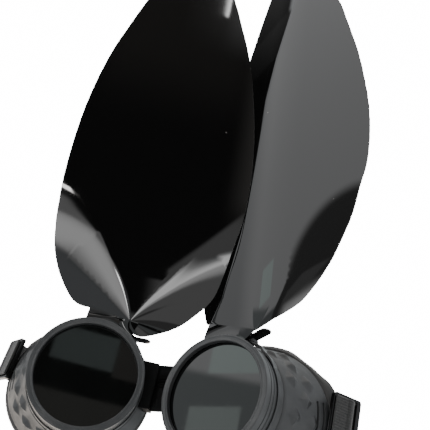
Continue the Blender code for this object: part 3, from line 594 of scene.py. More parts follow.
# Rows of studs on the flare: share of the way to the rim, pitch and shift in degrees
STUD_ROWS = ((0.22, 34, -2), (0.44, 34, 15), (0.60, 34, -2))
STUD_HALF_ANGLE = 9
STUD_HALF_SHARE = 0.15
STUD_HEIGHT = 0.0016
STUD_STEEPNESS = 1.25
STUD_LIMIT = 72
SHELL_COLUMNS = 288
FLARE_ROWS = 36
INSIDE_ROWS = 6
COLLAR_CORNER = 0.0003
COLLAR_GROOVE = 0.0008
COLLAR_GROOVE_DEPTH = 0.0006
RIM_ROUNDING = 0.0004
ROUNDED_SHARE = 0.025
SHELL_CREASE = 24


def rim_point(cup, angle, inset=0):
    across = cup.side * (RIM_TEMPLE_SHIFT + (RIM_HALF_WIDTH - inset) * cos(angle))
    back = RIM_DEPTH + RIM_SWEEP * cos(angle)
    return vec(across, back, (RIM_HALF_HEIGHT - inset) * sin(angle))


def flare_point(cup, angle, share, inset):
    start = polar(COLLAR_RADIUS + FLARE_STEP - inset, angle, COLLAR_END, cup.side)
    return start.lerp(rim_point(cup, angle, inset), share)


def stud_lift(angle, share):
    """Four-sided studs in staggered rows on the temple side."""
    degrees = bearing_of(cos(angle), sin(angle))
    if abs(degrees) > STUD_LIMIT:
        return 0
    best = 0
    for row, pitch, shift in STUD_ROWS:
        away = (degrees - shift + pitch / 2) % pitch - pitch / 2
        inside = 1 - abs(away) / STUD_HALF_ANGLE - abs(share - row) / STUD_HALF_SHARE
        best = max(best, inside)
    return STUD_HEIGHT * min(best * STUD_STEEPNESS, 1)


def cup_shell(cup):
    """Neck, grooved collar and the flared, studded wall, with its vents and bridge channel."""
    middle = COLLAR_END - COLLAR_GROOVE - COLLAR_GROOVE / 2
    floor = COLLAR_RADIUS - COLLAR_GROOVE_DEPTH
    front = (
        (NECK_RADIUS, NECK_FRONT), (NECK_RADIUS, COLLAR_START), (COLLAR_RADIUS - COLLAR_CORNER, COLLAR_START),
        (COLLAR_RADIUS, COLLAR_START + COLLAR_CORNER), (COLLAR_RADIUS, middle - COLLAR_GROOVE / 2),
        (floor, middle - COLLAR_GROOVE / 8), (floor, middle + COLLAR_GROOVE / 8),
        (COLLAR_RADIUS, middle + COLLAR_GROOVE / 2),
    )
    inside = ((OPENING_RADIUS, COLLAR_END - WALL), (OPENING_RADIUS, NECK_FRONT))
    angles = around(SHELL_COLUMNS)

    def circles(outline):
        return [[polar(radius, angle, back, cup.side) for angle in angles] for radius, back in outline]

    rings = circles(front)
    for share in even_shares(FLARE_ROWS):
        rounding = RIM_ROUNDING * ease((share - 1 + ROUNDED_SHARE) / ROUNDED_SHARE)
        rings.append([flare_point(cup, angle, share, rounding - stud_lift(angle, share)) for angle in angles])
    for share in reversed(even_shares(INSIDE_ROWS)):
        rings.append([flare_point(cup, angle, share, WALL) for angle in angles])
    rings += circles(inside)
    shell = lofted(cup.named("shell_skin"), rings, True, SHELL_CREASE)
    to_hinge = cup.axis.inverted() @ cup.hinge
    cutters = [place(item, to_hinge) for item in channel_cutters(cup)]
    cut(shell, cutters + [vent_cutter(cup, order) for order in range(2)])
    smooth_by_angle(shell.data, SHELL_CREASE)
    place(shell, cup.axis)
    return dress(shell, cup.named("cup"), "shell", "soft_cup_plastic", cup.named("cup_shell"))


VENT_STEPS = 12


def vent_cutter(cup, order):
    """A thin upright slot that follows the wall round the temple."""
    reach = RIM_HALF_WIDTH + RIM_TEMPLE_SHIFT
    half_angle = VENT_HEIGHT / 2 / reach
    back = VENT_DEPTH + VENT_SET_BACK + order * VENT_PITCH
    inner = COLLAR_RADIUS - WALL - FLARE_STEP
    outer = reach + WALL + FLARE_STEP
    low = back - VENT_WIDTH / 2
    high = back + VENT_WIDTH / 2
    rings = []
    corners = ((inner, low), (outer, low), (outer, high), (inner, high))
    for share in even_shares(VENT_STEPS):
        angle = lerp(-half_angle, half_angle, share)
        rings.append([polar(radius, angle, level, cup.side) for radius, level in corners])
    return lofted("vent_cut", rings)


WEB_ANGLE = radians(44)
CUT_OVERRUN = 0.002
LUG_ROUNDING = 0.0003


def channel_block(cup):
    """The nose-side lug: a round upright bar on a web that dies into the shell."""
    radius = BEAD_RADIUS + CLEARANCE + CHANNEL_WALL
    bar = rod("channel_bar", radius, BRIDGE_HEIGHT, lift_by(BRIDGE_RISE), 48)
    far = cup.side * (CHANNEL_OFFSET - CHANNEL_BACK_RADIUS * cos(WEB_ANGLE))
    low = BRIDGE_RISE - BRIDGE_HEIGHT / 2 + MERGE
    high = BRIDGE_RISE + BRIDGE_HEIGHT / 2 - MERGE
    web = block("channel_web", (min(0, far), -radius + MERGE, low), (max(0, far), radius - MERGE, high))
    cut(bar, [web], "UNION")
    clear = rod("channel_back", CHANNEL_BACK_RADIUS, CHANNEL_DEPTH, back_by(CHANNEL_DEPTH), 96, True)
    place(clear, cup.hinge.inverted() @ cup.axis)
    return cut(bar, [clear])


def channel_cutters(cup):
    """The bead's bore and the mouth that lets the web swing."""
    radius = BEAD_RADIUS + CLEARANCE
    height = BRIDGE_HEIGHT + 2 * CUT_OVERRUN
    bore = rod("channel_bore", radius, height, lift_by(BRIDGE_RISE), 40)
    reach = radius + CHANNEL_WALL + CUT_OVERRUN
    low = BRIDGE_RISE - height / 2
    section = [lift_by(low)]
    for angle in (-MOUTH_FRONT, 0, MOUTH_BACK):
        section.append(vec(-cup.side * reach * cos(angle), reach * sin(angle), low))
    raised = [point + lift_by(height) for point in section]
    return bore, lofted("channel_mouth", (section, raised))


def bridge_lug(cup):
    """The black channel on the nose side that the bridge's bead turns in."""
    lug = channel_block(cup)
    lug.name = cup.named("bridge_lug")
    cut(lug, channel_cutters(cup))
    bevelled(lug, LUG_ROUNDING, 2)
    place(lug, cup.hinge)
    return dress(lug, cup.named("cup"), "rubber", "black_rubber")


# The soft lip's spread in metres by angle round the cup in degrees, from the temple over the top
LIP_SPREAD = (
    (-180, 0), (-100, 0), (-60, 0.0008), (-25, 0.0006), (-14, 0), (18, 0), (27, 0.0034), (34, 0.0030),
    (48, 0.0010), (60, 0.0008), (78, 0.0024), (96, 0.0026), (118, 0.0010), (140, 0), (180, 0),
)
LEFT_SPREAD = 0.35


def lip_spread(cup, angle):
    degrees = bearing_of(cos(angle), sin(angle))
    return PAD_FLARE + looked_up(LIP_SPREAD, degrees, smooth=True) * (1 if cup.side > 0 else LEFT_SPREAD)


PAD_COLUMNS = 120
PAD_CREASE = 60
PAD_SWELL = 0.03
PAD_SWELLS = 9
PAD_SWELL_START = 0.7
# The lip's section: shares of its half width, of its spread and of its length
PAD_SECTION = (
    (-0.95, 0, 0), (0.95, 0, 0), (1.1, 0.30, 0.22), (1.05, 0.72, 0.60), (0.95, 0.98, 0.88),
    (0.55, 1, 1.04), (0, 0.85, 1.06), (-0.6, 0.5, 0.92), (-0.92, 0.2, 0.55), (-1, 0.05, 0.2),
)


def face_pad(cup):
    """The soft lip behind the rim, full and rounded in section."""
    rings = []
    for angle in around(PAD_COLUMNS):
        start = rim_point(cup, angle, WALL / 2) + back_by(CLEARANCE)
        outward = polar(1, angle, 0, cup.side)
        swell = 1 + PAD_SWELL * sin(angle * PAD_SWELLS + PAD_SWELL_START)
        spread = lip_spread(cup, angle)
        rings.append([
            start + outward * (PAD_WIDTH / 2 * out + spread * share) + back_by(PAD_LENGTH * back * swell)
            for out, share, back in PAD_SECTION
        ])
    pad = lofted(cup.named("soft_rim"), rings, True, PAD_CREASE)
    rounding = pad.modifiers.new("round", "SUBSURF")
    rounding.levels = 1
    rounding.render_levels = 1
    settle(pad, PAD_CREASE)
    place(pad, cup.axis)
    dress(pad, cup.named("cup"), "pad", "face_pad_vinyl", cup.named("face_pad"))
    return pad


# ---- buckles, straps and slide
UP = vec(0, 0, 1)
PINHOLE_RADIUS = 0.0003
PINHOLE_INSET = (0.0013, 0.0016)
BUCKLE_ROUNDING = 0.00022


def buckle_frame(cup):
    """The buckle's matrix, its upright direction and the sign of its outer face."""
    along = vec(cup.side * sin(BUCKLE_ANGLE), cos(BUCKLE_ANGLE), 0)
    start = vec(cup.side * BUCKLE_START[0], BUCKLE_START[1], BUCKLE_START[2])
    local = Matrix.Translation(start) @ Matrix((along, UP, along.cross(UP))).transposed().to_4x4()
    matrix = cup.axis @ local
    turn = matrix.to_3x3()
    return matrix, (turn @ back_by(1)).normalized(), 1 if (turn @ UP).x * cup.side > 0 else -1


MIDDLE_BAR = BUCKLE_LENGTH - BAR_WIDTH - SLOT_WIDTH - BAR_WIDTH / 2


def side_buckle(cup):
    """The two-slot buckle at the temple, with a pinhole in its outer bar."""
    half = BUCKLE_HEIGHT / 2
    slot_half = half - SLOT_END_BAR
    outer_low = MIDDLE_BAR + BAR_WIDTH / 2
    inner_high = MIDDLE_BAR - BAR_WIDTH / 2
    corner = SLOT_END_BAR / 2
    hole = [(BUCKLE_LENGTH - PINHOLE_INSET[0] + PINHOLE_RADIUS * cos(angle),
             cup.side * (half - PINHOLE_INSET[1]) + PINHOLE_RADIUS * sin(angle)) for angle in around(12)]
    outlines = (
        rounded_rectangle((0, -half), (BUCKLE_LENGTH, half), BUCKLE_CORNER),
        rounded_rectangle((outer_low, -slot_half), (outer_low + SLOT_WIDTH, slot_half), corner),
        rounded_rectangle((inner_high - SLOT_WIDTH, -slot_half), (inner_high, slot_half), corner),
        hole,
    )
    matrix = buckle_frame(cup)[0]
    buckle = plate(cup.named("buckle_frame"), outlines, BUCKLE_THICKNESS, matrix, BUCKLE_ROUNDING)
    return dress(buckle, cup.named("cup"), "buckle", "gloss_buckle", cup.named("side_buckle"))


def bezier(points, share):
    rest = 1 - share
    weights = (rest**3, 3 * rest**2 * share, 3 * rest * share**2, share**3)
    return sum((point * weight for point, weight in zip(points, weights)), vec(0, 0, 0))


def spline_point(before, start, end, after, share):
    """Catmull-Rom between start and end."""
    square = share * share
    cube = square * share
    return (start * 2 + (end - before) * share + (before * 2 - start * 5 + end * 4 - after) * square
            + (start * 3 - before - end * 3 + after) * cube) / 2


def refined(points, steps=0, pitch=1):
    """More points on a smooth line through the given ones, by a count for each span or by a pitch."""
    last = len(points) - 1
    result = []
    for index in range(last):
        start, end = points[index], points[index + 1]
        before = points[max(index - 1, 0)]
        after = points[min(index + 2, last)]
        count = steps or max(2, round((end - start).length / pitch))
        result += [spline_point(before, start, end, after, step / count) for step in range(count)]
    return result + [points[last]]


# How many steps of its run the strap takes to turn upright
TWIST_STEPS = 5


def strap_path(cup):
    """The strap's centre line and upright directions, as the model lays them."""
    matrix, level, outer_sign = buckle_frame(cup)
    radius = hypot(BAR_WIDTH, BUCKLE_THICKNESS) / 2 + CLEARANCE + STRAP_THICKNESS / 2
    fold = []
    for share in even_shares(FOLD_STEPS):
        angle = pi * share
        fold.append(matrix @ vec(MIDDLE_BAR - radius * cos(angle), 0, outer_sign * radius * sin(angle)))
    inward = -outer_sign * (matrix.to_3x3() @ UP)
    first_exit = fold[0] + inward * (BUCKLE_THICKNESS + STRAP_THICKNESS)
    start = fold[-1] + inward * (BUCKLE_THICKNESS + STRAP_THICKNESS)
    rear_offset = cup.side * (STRAP_THICKNESS / 2 + CLEARANCE + SLIDE_BAR / 2)
    rear = vec(cup.side * STRAP_OVERLAP, STRAP_REAR + rear_offset, 0)
    controls = (start, start + inward * STRAP_SIDE_PULL,
                vec(rear.x + cup.side * STRAP_REAR_PULL, rear.y, start.z), vec(rear.x, rear.y, start.z))
    run = []
    for share in even_shares(STRAP_STEPS)[1:]:
        point = bezier(controls, share)
        point.z = lerp(start.z, REAR_LEVEL, ease(share))
        run.append(point)
    run.append(vec(-cup.side * STRAP_OVERLAP, rear.y, run[-1].z))
    doubled = []
    for index in (2, 1, 0):
        heading = (run[index + 1] - run[index]).normalized()
        doubled.append(run[index] + heading.cross(UP).normalized() * -cup.side * STRAP_PLIES_APART)
    centres = doubled + [first_exit] + fold + [start] + run
    uprights = []
    for index in range(len(centres)):
        past = index - len(doubled) - len(fold) - 2
        uprights.append(level.lerp(UP, ease(max(past, 0) / TWIST_STEPS)).normalized())
    return centres, uprights


RIBS = 15
RIB_STEPS = 6
RIB_RELIEF = 0.00016
# The band's thickness at its edges, what it gains toward the middle, and how fast, as shares
BAND_EDGE = 0.55
BAND_GAIN = 0.45
BAND_FILL = 40
HEM = (0.0009, 0.0078)
HEM_STEPS = 8
REAR_STEPS = 24
WEBBING_CREASE = 75


def webbing(name, centres, uprights):
    """A ribbed band through the centres: fine cords along its length on both faces, thin at its edges."""
    rings = []
    for index, (centre, upright) in enumerate(zip(centres, uprights)):
        before = centres[max(index - 1, 0)]
        after = centres[min(index + 1, len(centres) - 1)]
        side = (after - before).cross(upright).normalized()
        ring = []
        for face in (1, -1):
            for run_share in even_shares(RIBS * RIB_STEPS):
                share = run_share if face > 0 else 1 - run_share
                rib = abs(sin(pi * RIBS * share))
                edge = min(1, min(share, 1 - share) * BAND_FILL)
                half = (STRAP_THICKNESS / 2 - RIB_RELIEF) * (BAND_EDGE + BAND_GAIN * edge) + RIB_RELIEF * rib
                ring.append(centre + upright * (STRAP_WIDTH * (0.5 - share)) + side * (half * face))
        rings.append(ring)
    return lofted(name, rings, degrees=WEBBING_CREASE)


def head_strap(cup):
    """The elastic from the back of the head to the buckle's bar, with its hem over the inner bar."""
    centres, uprights = strap_path(cup)
    start, end = centres[-2:]
    centres = refined(centres[:-1], 4)
    uprights = refined(uprights[:-1], 4) + [uprights[-2]] * REAR_STEPS
    centres += [start.lerp(end, share) for share in even_shares(REAR_STEPS)[1:]]
    matrix, level, outer_sign = buckle_frame(cup)
    off = outer_sign * (BUCKLE_THICKNESS / 2 + CLEARANCE + STRAP_THICKNESS / 2)
    hem = [matrix @ vec(lerp(*HEM, share), 0, off) for share in even_shares(HEM_STEPS)]
    bands = (webbing("run", centres, uprights), webbing("hem", hem, [level] * len(hem)))
    strap = joined(cup.named("elastic"), bands)
    smooth_by_angle(strap.data, WEBBING_CREASE)
    paint(strap.data, "webbing")
    cup.named("cup")
    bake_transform(strap)
    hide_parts(cup.named("head_strap"))
    return strap


def strap_slide():
    window = STRAP_THICKNESS + 2 * CLEARANCE
    half_depth = window + SLIDE_BAR / 2 + SLIDE_FRAME
    half_height = STRAP_WIDTH / 2 + CLEARANCE + SLIDE_FRAME
    outline = rounded_rectangle((-half_depth, -half_height), (half_depth, half_height), SLIDE_FRAME / 2)
    inside = half_height - SLIDE_FRAME
    near = rounded_rectangle((-window - SLIDE_BAR / 2, -inside), (-SLIDE_BAR / 2, inside), CLEARANCE / 2, 1)
    far = rounded_rectangle((SLIDE_BAR / 2, -inside), (window + SLIDE_BAR / 2, inside), CLEARANCE / 2, 1)
    turn = Matrix(((0, 0, 1), (1, 0, 0), (0, 1, 0))).to_4x4()
    matrix = Matrix.Translation(vec(0, STRAP_REAR, REAR_LEVEL)) @ turn
    slide = plate("slide_frame", (outline, near, far), SLIDE_LENGTH, matrix, 0.0001)
    return dress(slide, "slide", "buckle", "gloss_buckle", "strap_slide")


# ---- nose bridge
BRIDGE_PROFILE = (
    (0, 0), (0.03, 0.45), (0.08, 0.75), (0.18, 0.94), (0.30, 1), (0.44, 1), (0.485, 0.98),
    (0.50, 0.62), (0.515, 0.98), (0.54, 1), (0.555, 0.62), (0.57, 1), (0.60, 1.02), (0.615, 0.62),
    (0.63, 1), (0.66, 0.98), (0.675, 0.60), (0.69, 0.86), (0.74, 0.52), (0.80, 0.24), (0.86, 0.14),
    (0.92, 0.22), (0.97, 0.52), (1, 0.62),
)
BRIDGE_STATIONS = 40
RELIEF_RAMP = 3


def nose_bridge(left, right):
    """The moulded rubber web: ribs across its front and a bead up each end."""
    start = left.hinge.translation
    end = right.hinge.translation
    facing = (end - start).normalized().cross(UP)
    profile = refined([Vector(pair) for pair in BRIDGE_PROFILE], 3)
    rings = []
    for share in even_shares(BRIDGE_STATIONS):
        centre = start.lerp(end, share) - facing * BRIDGE_BOW * sin(pi * share)
        relief = BRIDGE_RELIEF * ease(min(share, 1 - share) * RELIEF_RAMP)
        ring = []
        for height_share, relief_share in profile:
            height = BRIDGE_RISE + BRIDGE_HEIGHT * (height_share - 0.5) + BRIDGE_CLIMB * share
            out = BRIDGE_THICKNESS / 2 + relief * min(relief_share, 1)
            ring.append(centre + facing * out + lift_by(height))
        back = centre - facing * BRIDGE_THICKNESS / 2
        for half in (BRIDGE_HEIGHT / 2, -BRIDGE_HEIGHT / 2):
            ring.append(back + lift_by(BRIDGE_RISE + half + BRIDGE_CLIMB * share))
        rings.append(ring)
    web = lofted("rubber_bridge", rings, degrees=40)
    beads = []
    for cup in (left, right):
        centre = cup.hinge.translation + lift_by(BRIDGE_RISE)
        beads.append(rod("bead", BEAD_RADIUS, BRIDGE_HEIGHT + 2 * MERGE, centre, 32))
    cut(web, beads, "UNION")
    smooth_by_angle(web.data, 40)
    return dress(web, "bridge", "rubber", "black_rubber", "nose_bridge")


# ---- ears
OUTLINE_PITCH = 0.0016
OUTLINE_MIDDLE = vec(-0.006, 0.14)
# The cut edge: how far it lies inside the outline, how uneven it is, that unevenness as (scale, seed, share),
# and how many corners at each end keep their places
CUT_INSET = 0.00012
CUT_WOBBLE = 0.00016
CUT_LAYERS = ((170, 3, 1), (620, 7, 0.6))
CUT_ENDS = 5
# Each lobe's first angle at the pinch and at the sheet's edge, and its spread, in degrees
RIGHT_LOBE = (66, 40, 70)
LEFT_LOBE = (100, 122, 75)
POCKET_FROM = 142
POCKET_SPREAD = 26
POCKET_REACH = 0.030
SLOPE_ROUNDING = 0.014
CREASE_SOFTNESS = 0.0010
CREASE_CLEAR = 0.0024
CREASE_LINES = (-0.0016, -0.0010, -0.0005, 0, 0.0005, 0.0010, 0.0016)
PINCH_FAN = 0.020
FAN_RINGS = 18
FAN_SPOKES = 72
FAN_CROWDING = 1.3
EAR_GRID = 0.0026
ROW_HEIGHT = EAR_GRID * 0.87
NORMAL_STEP = 0.0002
CDT_TOLERANCE = 1e-7
EAR_SPAN = (-0.070, 0.056)
EAR_LOW = -0.010
# A strip this wide along each ear's front outline is painted in the pale edge colour as a painted highlight;
# the right ear has none. The rest set the strip's open ends and which faces take it.
PAINTED_HIGHLIGHT_STRIP = {"left": 0.00042, "right": 0}
HIGHLIGHT_STRIP_ENDS = 3
HIGHLIGHT_STRIP_NEAR = 1.25
HIGHLIGHT_STRIP_SHARE = 0.8


def fold_end(cup):
    width = FOLD_WIDTH[cup.label]
    return vec(-width * cos(FOLD_SLOPE), width * sin(FOLD_SLOPE))


def outline_points(cup):
    """The edge of the flat sheet, with the slight unevenness of a cut by hand."""
    corners = [fold_end(cup)] + [vec(across * EAR_WIDTH, up * EAR_LENGTH) for across, up in cup.outline]
    points = refined(corners, pitch=OUTLINE_PITCH)
    for index in range(CUT_ENDS, len(points) - CUT_ENDS):
        x, y = points[index]
        wobble = sum(share * noise.noise(vec(x * scale, y * scale, cup.side * seed))
                     for scale, seed, share in CUT_LAYERS)
        toward = OUTLINE_MIDDLE - points[index]
        points[index] += toward.normalized() * (CUT_WOBBLE * wobble + CUT_INSET)
    return points


def lobe_bend(point, flex):
    """How far the two lower lobes and the pocket bend back, as cones that spread from the pinch."""
    radius = point.length
    if radius < MERGE:
        return 0
    angle = bearing_of(point.x, point.y)
    if angle < -135:
        angle += 360
    far = min(radius / EAR_WIDTH, 1)
    right = ease((lerp(*RIGHT_LOBE[:2], far) - angle) / RIGHT_LOBE[2])
    left = ease((angle - lerp(*LEFT_LOBE[:2], far)) / LEFT_LOBE[2])
    lobes = (flex["right_lobe"] * right + flex["left_lobe"] * left) * min(radius / EAR_WIDTH * 2, 1)
    pocket = flex["pocket"] * ease((angle - POCKET_FROM) / POCKET_SPREAD) * min(radius / POCKET_REACH, 1)
    return lobes + pocket


def crease_across(up):
    return looked_up(CREASE_SHARES, up / EAR_LENGTH) * EAR_WIDTH


def soft_ramp(value, rounding):
    if value < -rounding:
        return 0
    if value < rounding:
        return (value + rounding) ** 2 / (4 * rounding)
    return value


def flexed(point, flex):
    """The flat sheet bent in space: the slopes beside the pinch, the lobes, then the crease."""
    back = flex["slope"] * soft_ramp(point.x, SLOPE_ROUNDING)
    back -= flex["left_slope"] * soft_ramp(-point.x, SLOPE_ROUNDING)
    back += lobe_bend(point, flex)
    past = soft_ramp(crease_across(point.y) - point.x, CREASE_SOFTNESS)
    angle = radians(flex["crease"])
    return vec(point.x + past * (1 - cos(angle)), back + past * sin(angle), point.y)


def flex_normal(point, flex):
    across, upward = [flexed(point + step, flex) - flexed(point - step, flex)
                      for step in (vec(NORMAL_STEP, 0), vec(0, NORMAL_STEP))]
    return upward.cross(across).normalized()


def inset_line(outline, width):
    """The outline moved inward, open at the pinch and the fold's end, as the inner edge of the painted
    highlight strip.
    """
    line = []
    for index in range(HIGHLIGHT_STRIP_ENDS, len(outline) - HIGHLIGHT_STRIP_ENDS):
        along = (outline[index + 1] - outline[index - 1]).normalized()
        line.append(outline[index] + vec(along.y, -along.x) * width)
    return line


def inside_outline(point, outline):
    inside = False
    for a, b in zip(outline, outline[-1:] + outline[:-1]):
        if (a.y > point.y) != (b.y > point.y) and point.x < (b.x - a.x) * (point.y - a.y) / (b.y - a.y) + a.x:
            inside = not inside
    return inside


def ear_points(cup, outline):
    """Points inside the outline: a fan at the pinch, lines beside the crease and a grid elsewhere."""
    points = []
    creased = cup.flex["crease"] > 0
    for ring in range(1, FAN_RINGS + 1):
        radius = PINCH_FAN * (ring / FAN_RINGS) ** FAN_CROWDING
        for spoke in range(FAN_SPOKES):
            angle = 2 * pi * (spoke + ring % 2 / 2) / FAN_SPOKES
            points.append(vec(radius * cos(angle), radius * sin(angle)))
    row = 0
    up = EAR_LOW
    while up < EAR_LENGTH:
        across = EAR_SPAN[0] + (row % 2) * EAR_GRID / 2
        while across < EAR_SPAN[1]:
            point = vec(across, up)
            near_crease = creased and abs(crease_across(up) - across) < CREASE_CLEAR
            if point.length > PINCH_FAN + EAR_GRID / 3 and not near_crease:
                points.append(point)
            across += EAR_GRID
        if creased:
            points += [vec(crease_across(up) + shift, up) for shift in CREASE_LINES]
        up += ROW_HEIGHT
        row += 1
    clear = (EAR_GRID * 0.25) ** 2
    return [point for point in points if inside_outline(point, outline)
            and min((point - corner).length_squared for corner in outline) > clear]


def near_edge(point, outline, reach):
    """How far a point is from the outline's nearest side."""
    index = reach.find(point.to_3d())[1]
    best = 1
    for first, last in ((index - 1, index), (index, (index + 1) % len(outline))):
        side = outline[last] - outline[first]
        share = min(max((point - outline[first]).dot(side) / max(side.length_squared, 1e-12), 0), 1)
        best = min(best, (outline[first] + side * share - point).length)
    return best


def ear(cup):
    """The leaf of gloss sheet: both faces with exact normals and a paler cut edge; on the left ear a thin strip
    of the front face along the outline is painted in the edge's pale colour as a painted highlight.
    """
    outline = outline_points(cup)
    count = len(outline)
    edges = [(index, (index + 1) % count) for index in range(count)]
    width = PAINTED_HIGHLIGHT_STRIP[cup.label]
    highlight_strip = inset_line(outline, width) if width else []
    edges += [(count + index, count + index + 1) for index in range(len(highlight_strip) - 1)]
    given = outline + highlight_strip + ear_points(cup, outline)
    flat, _, triangles, _, _, _ = delaunay_2d_cdt(given, edges, [], 1, CDT_TOLERANCE)
    reach = KDTree(count)
    for index, corner in enumerate(outline):
        reach.insert(corner.to_3d(), index)
    reach.balance()
    front, back, normals = [], [], []
    turn = cup.fold.to_3x3()
    for point in flat:
        middle = cup.fold @ flexed(point, cup.flex)
        normal = (turn @ flex_normal(point, cup.flex)).normalized()
        normals.append(normal)
        front.append(middle + normal * EAR_SHEET / 2)
        back.append(middle - normal * EAR_SHEET / 2)
    total = len(flat)
    faces, looks, loop_normals = [], [], []
    sides = {}
    for a, b, c in triangles:
        if (front[b] - front[a]).cross(front[c] - front[a]).dot(normals[a]) < 0:
            a, b, c = c, b, a
        faces += [(a, b, c), (c + total, b + total, a + total)]
        loop_normals += [normals[a], normals[b], normals[c], -normals[c], -normals[b], -normals[a]]
        middle = (flat[a] + flat[b] + flat[c]) / 3
        near = reach.find(middle.to_3d())[2] < width * HIGHLIGHT_STRIP_NEAR
        # Front faces inside the strip along the outline take the pale edge colour: a painted highlight.
        looks += [int(near and near_edge(middle, outline, reach) < width * HIGHLIGHT_STRIP_SHARE), 0]
        sides.update({(a, b): True, (b, c): True, (c, a): True})
    for a, b in sides:
        if (b, a) not in sides:
            faces.append((b, a, a + total, b + total))
            loop_normals += [-(front[a] - front[b]).cross(normals[a]).normalized()] * 4
            looks.append(1)
    mesh = bpy.data.meshes.new(cup.named("leaf_sheet"))
    mesh.from_pydata([tuple(point) for point in front + back], [], faces)
    paint(mesh, "ear", "edge")
    mesh.polygons.foreach_set("material_index", looks)
    mesh.shade_smooth()
    mesh.update()
    mesh.normals_split_custom_set([tuple(normal) for normal in loop_normals])
    return dress(new_object(mesh.name, mesh), cup.named("leaf"), None, "gloss_ear_sheet", cup.named("ear"))


# Where each tab starts, as a share of the fold from the pinch to its far end
TAB_START = {"left": -0.19, "right": 0}
TAB_SLANT = {"left": 0, "right": 0.0052}
TAB_COLUMNS = 40
TAB_SHARES = (0.12, 0.24, 0.36, 0.48, 0.60, 0.70, 0.80, 0.88, 0.95)
ROLL_RADIUS = EAR_SHEET * 0.52
ROLL_SIDES = 12


def fold_ends(cup):
    """The fold's pinch and far end, in the frame of the cup's axis."""
    to_cup = cup.axis.inverted() @ cup.fold
    return to_cup @ vec(0, 0, 0), to_cup @ flexed(fold_end(cup), cup.flex)


def ear_tab(cup):
    """The rest of the ear's sheet: from the fold down to the collar, back as a foot, and a rolled crease."""
    pinch, far = fold_ends(cup)
    seat = COLLAR_RADIUS + CLEARANCE + EAR_SHEET / 2
    tops, feet = [], []
    for share in even_shares(TAB_COLUMNS):
        top = pinch.lerp(far, lerp(TAB_START[cup.label], 1, share))
        across = top.x * FOOT_SHARE - TAB_SLANT[cup.label] * ease(1 - 2 * share)
        tops.append(top)
        feet.append(vec(across, FOOT_START, sqrt(seat * seat - across * across)))
    rows = [tops]
    for share in TAB_SHARES:
        row = [top.lerp(foot, share) for top, foot in zip(tops, feet)]
        for point, top, foot in zip(row, tops, feet):
            point.y = lerp(foot.y, top.y, (1 - share) ** 2)
        rows.append(row)
    for back in (EAR_SHEET, FOOT_LENGTH / 3, FOOT_LENGTH * 2 / 3, FOOT_LENGTH):
        rows.append([foot + back_by(back) for foot in feet])
    faces = []
    for row in range(len(rows) - 1):
        low = row * (TAB_COLUMNS + 1)
        high = low + TAB_COLUMNS + 1
        faces += [(low + i, low + i + 1, high + i + 1, high + i) for i in range(TAB_COLUMNS)]
    name = cup.named("tab_sheet")
    item = new_object(name, mesh_from(name, [point for row in rows for point in row], faces, 60))
    sheet = item.modifiers.new("sheet", "SOLIDIFY")
    sheet.thickness = EAR_SHEET
    sheet.offset = 0
    settle(item, 50)
    crease = [[top + vec(0, cos(turn), sin(turn)) * ROLL_RADIUS for turn in around(ROLL_SIDES)] for top in tops]
    item = joined(name, (item, lofted("roll", crease, degrees=60)))
    place(item, cup.axis)
    return dress(item, cup.named("cup"), "ear", "gloss_ear_sheet", cup.named("ear_tab"))


# ---- ear ties
TIE_RISE_STEP = radians(6)
TIE_COLUMNS = 180
# Round the collar the band lies flat and in the shell's colour but between these angles, in degrees
TIE_SHOWN = (36, 196)
TIE_FADE = (34, 196, 16)
TIE_HEAD_ROUNDING = 0.0006
TAIL_STEPS = 48
TAIL_TOOTH = 0.00010
TAIL_PITCH = 0.0011
TAIL_BLUNT = 0.003
TAIL_THINNING = 0.35


def tie_radius(angle, foot_left, foot_right):
    low = COLLAR_RADIUS + CLEARANCE
    high = low + EAR_SHEET + CLEARANCE
    step = TIE_RISE_STEP
    rise = ease((angle - foot_right + 2 * step) / step) * ease((foot_left + 2 * step - angle) / step)
    return lerp(low, high, rise)


def ear_tie(cup):
    """The tie band round the collar: round-edged band, square head and a toothed free tail."""
    reach = COLLAR_RADIUS + CLEARANCE + EAR_SHEET / 2
    foot_right, foot_left = [acos(end.x * FOOT_SHARE / reach) for end in fold_ends(cup)]
    half = TIE_WIDTH / 2
    section = rounded_corners(((0, -half, 0.0002), (TIE_THICKNESS, -half, 0.0004),
                               (TIE_THICKNESS, half, 0.0004), (0, half, 0.0002)), 3)
    start, end, fade = TIE_FADE
    rings = []
    for angle in around(TIE_COLUMNS):
        inner = tie_radius(angle, foot_left, foot_right)
        degrees = math.degrees(angle)
        flat = lerp(TIE_FLAT, 1, ease((degrees - start) / fade) * ease((end - degrees) / fade))
        rings.append([polar(inner + rise * flat, angle, TIE_DEPTH + back) for rise, back in section])
    band = lofted("band", rings, True, 40)
    paint(band.data, "tie", "shell")
    for face in band.data.polygons:
        degrees = bearing_of(face.center.x, face.center.z) % 360
        face.material_index = 0 if TIE_SHOWN[0] < degrees < TIE_SHOWN[1] else 1
    head_turn, swing, lift, length = TIE_POSE[cup.label]
    head_angle = radians(head_turn)
    radius = tie_radius(head_angle, foot_left, foot_right)
    centre = vec(radius + TIE_HEAD_HEIGHT / 2, TIE_DEPTH, 0)
    seat = Matrix.Rotation(-head_angle, 4, "Y") @ Matrix.Translation(centre)
    half_head = TIE_HEAD_WIDTH / 2
    head = block("head", (-TIE_HEAD_HEIGHT / 2 + TIE_THICKNESS / 4, -half_head, -half_head),
                 (TIE_HEAD_HEIGHT / 2, half_head, half_head))
    place(bevelled(head, TIE_HEAD_ROUNDING, 3), seat)
    turn = Matrix.Rotation(radians(-swing), 4, "Z") @ Matrix.Rotation(radians(-lift), 4, "Y")
    tail = place(tie_tail(length), Matrix.Translation(seat @ vec(TIE_TAIL_RISE, 0, 0)) @ turn)
    tie = joined(cup.named("tie_band"), (band, head, tail))
    paint(tie.data, "tie", "shell")
    place(tie, cup.axis)
    return dress(tie, cup.named("cup"), None, "tie_plastic", cup.named("ear_tie"))


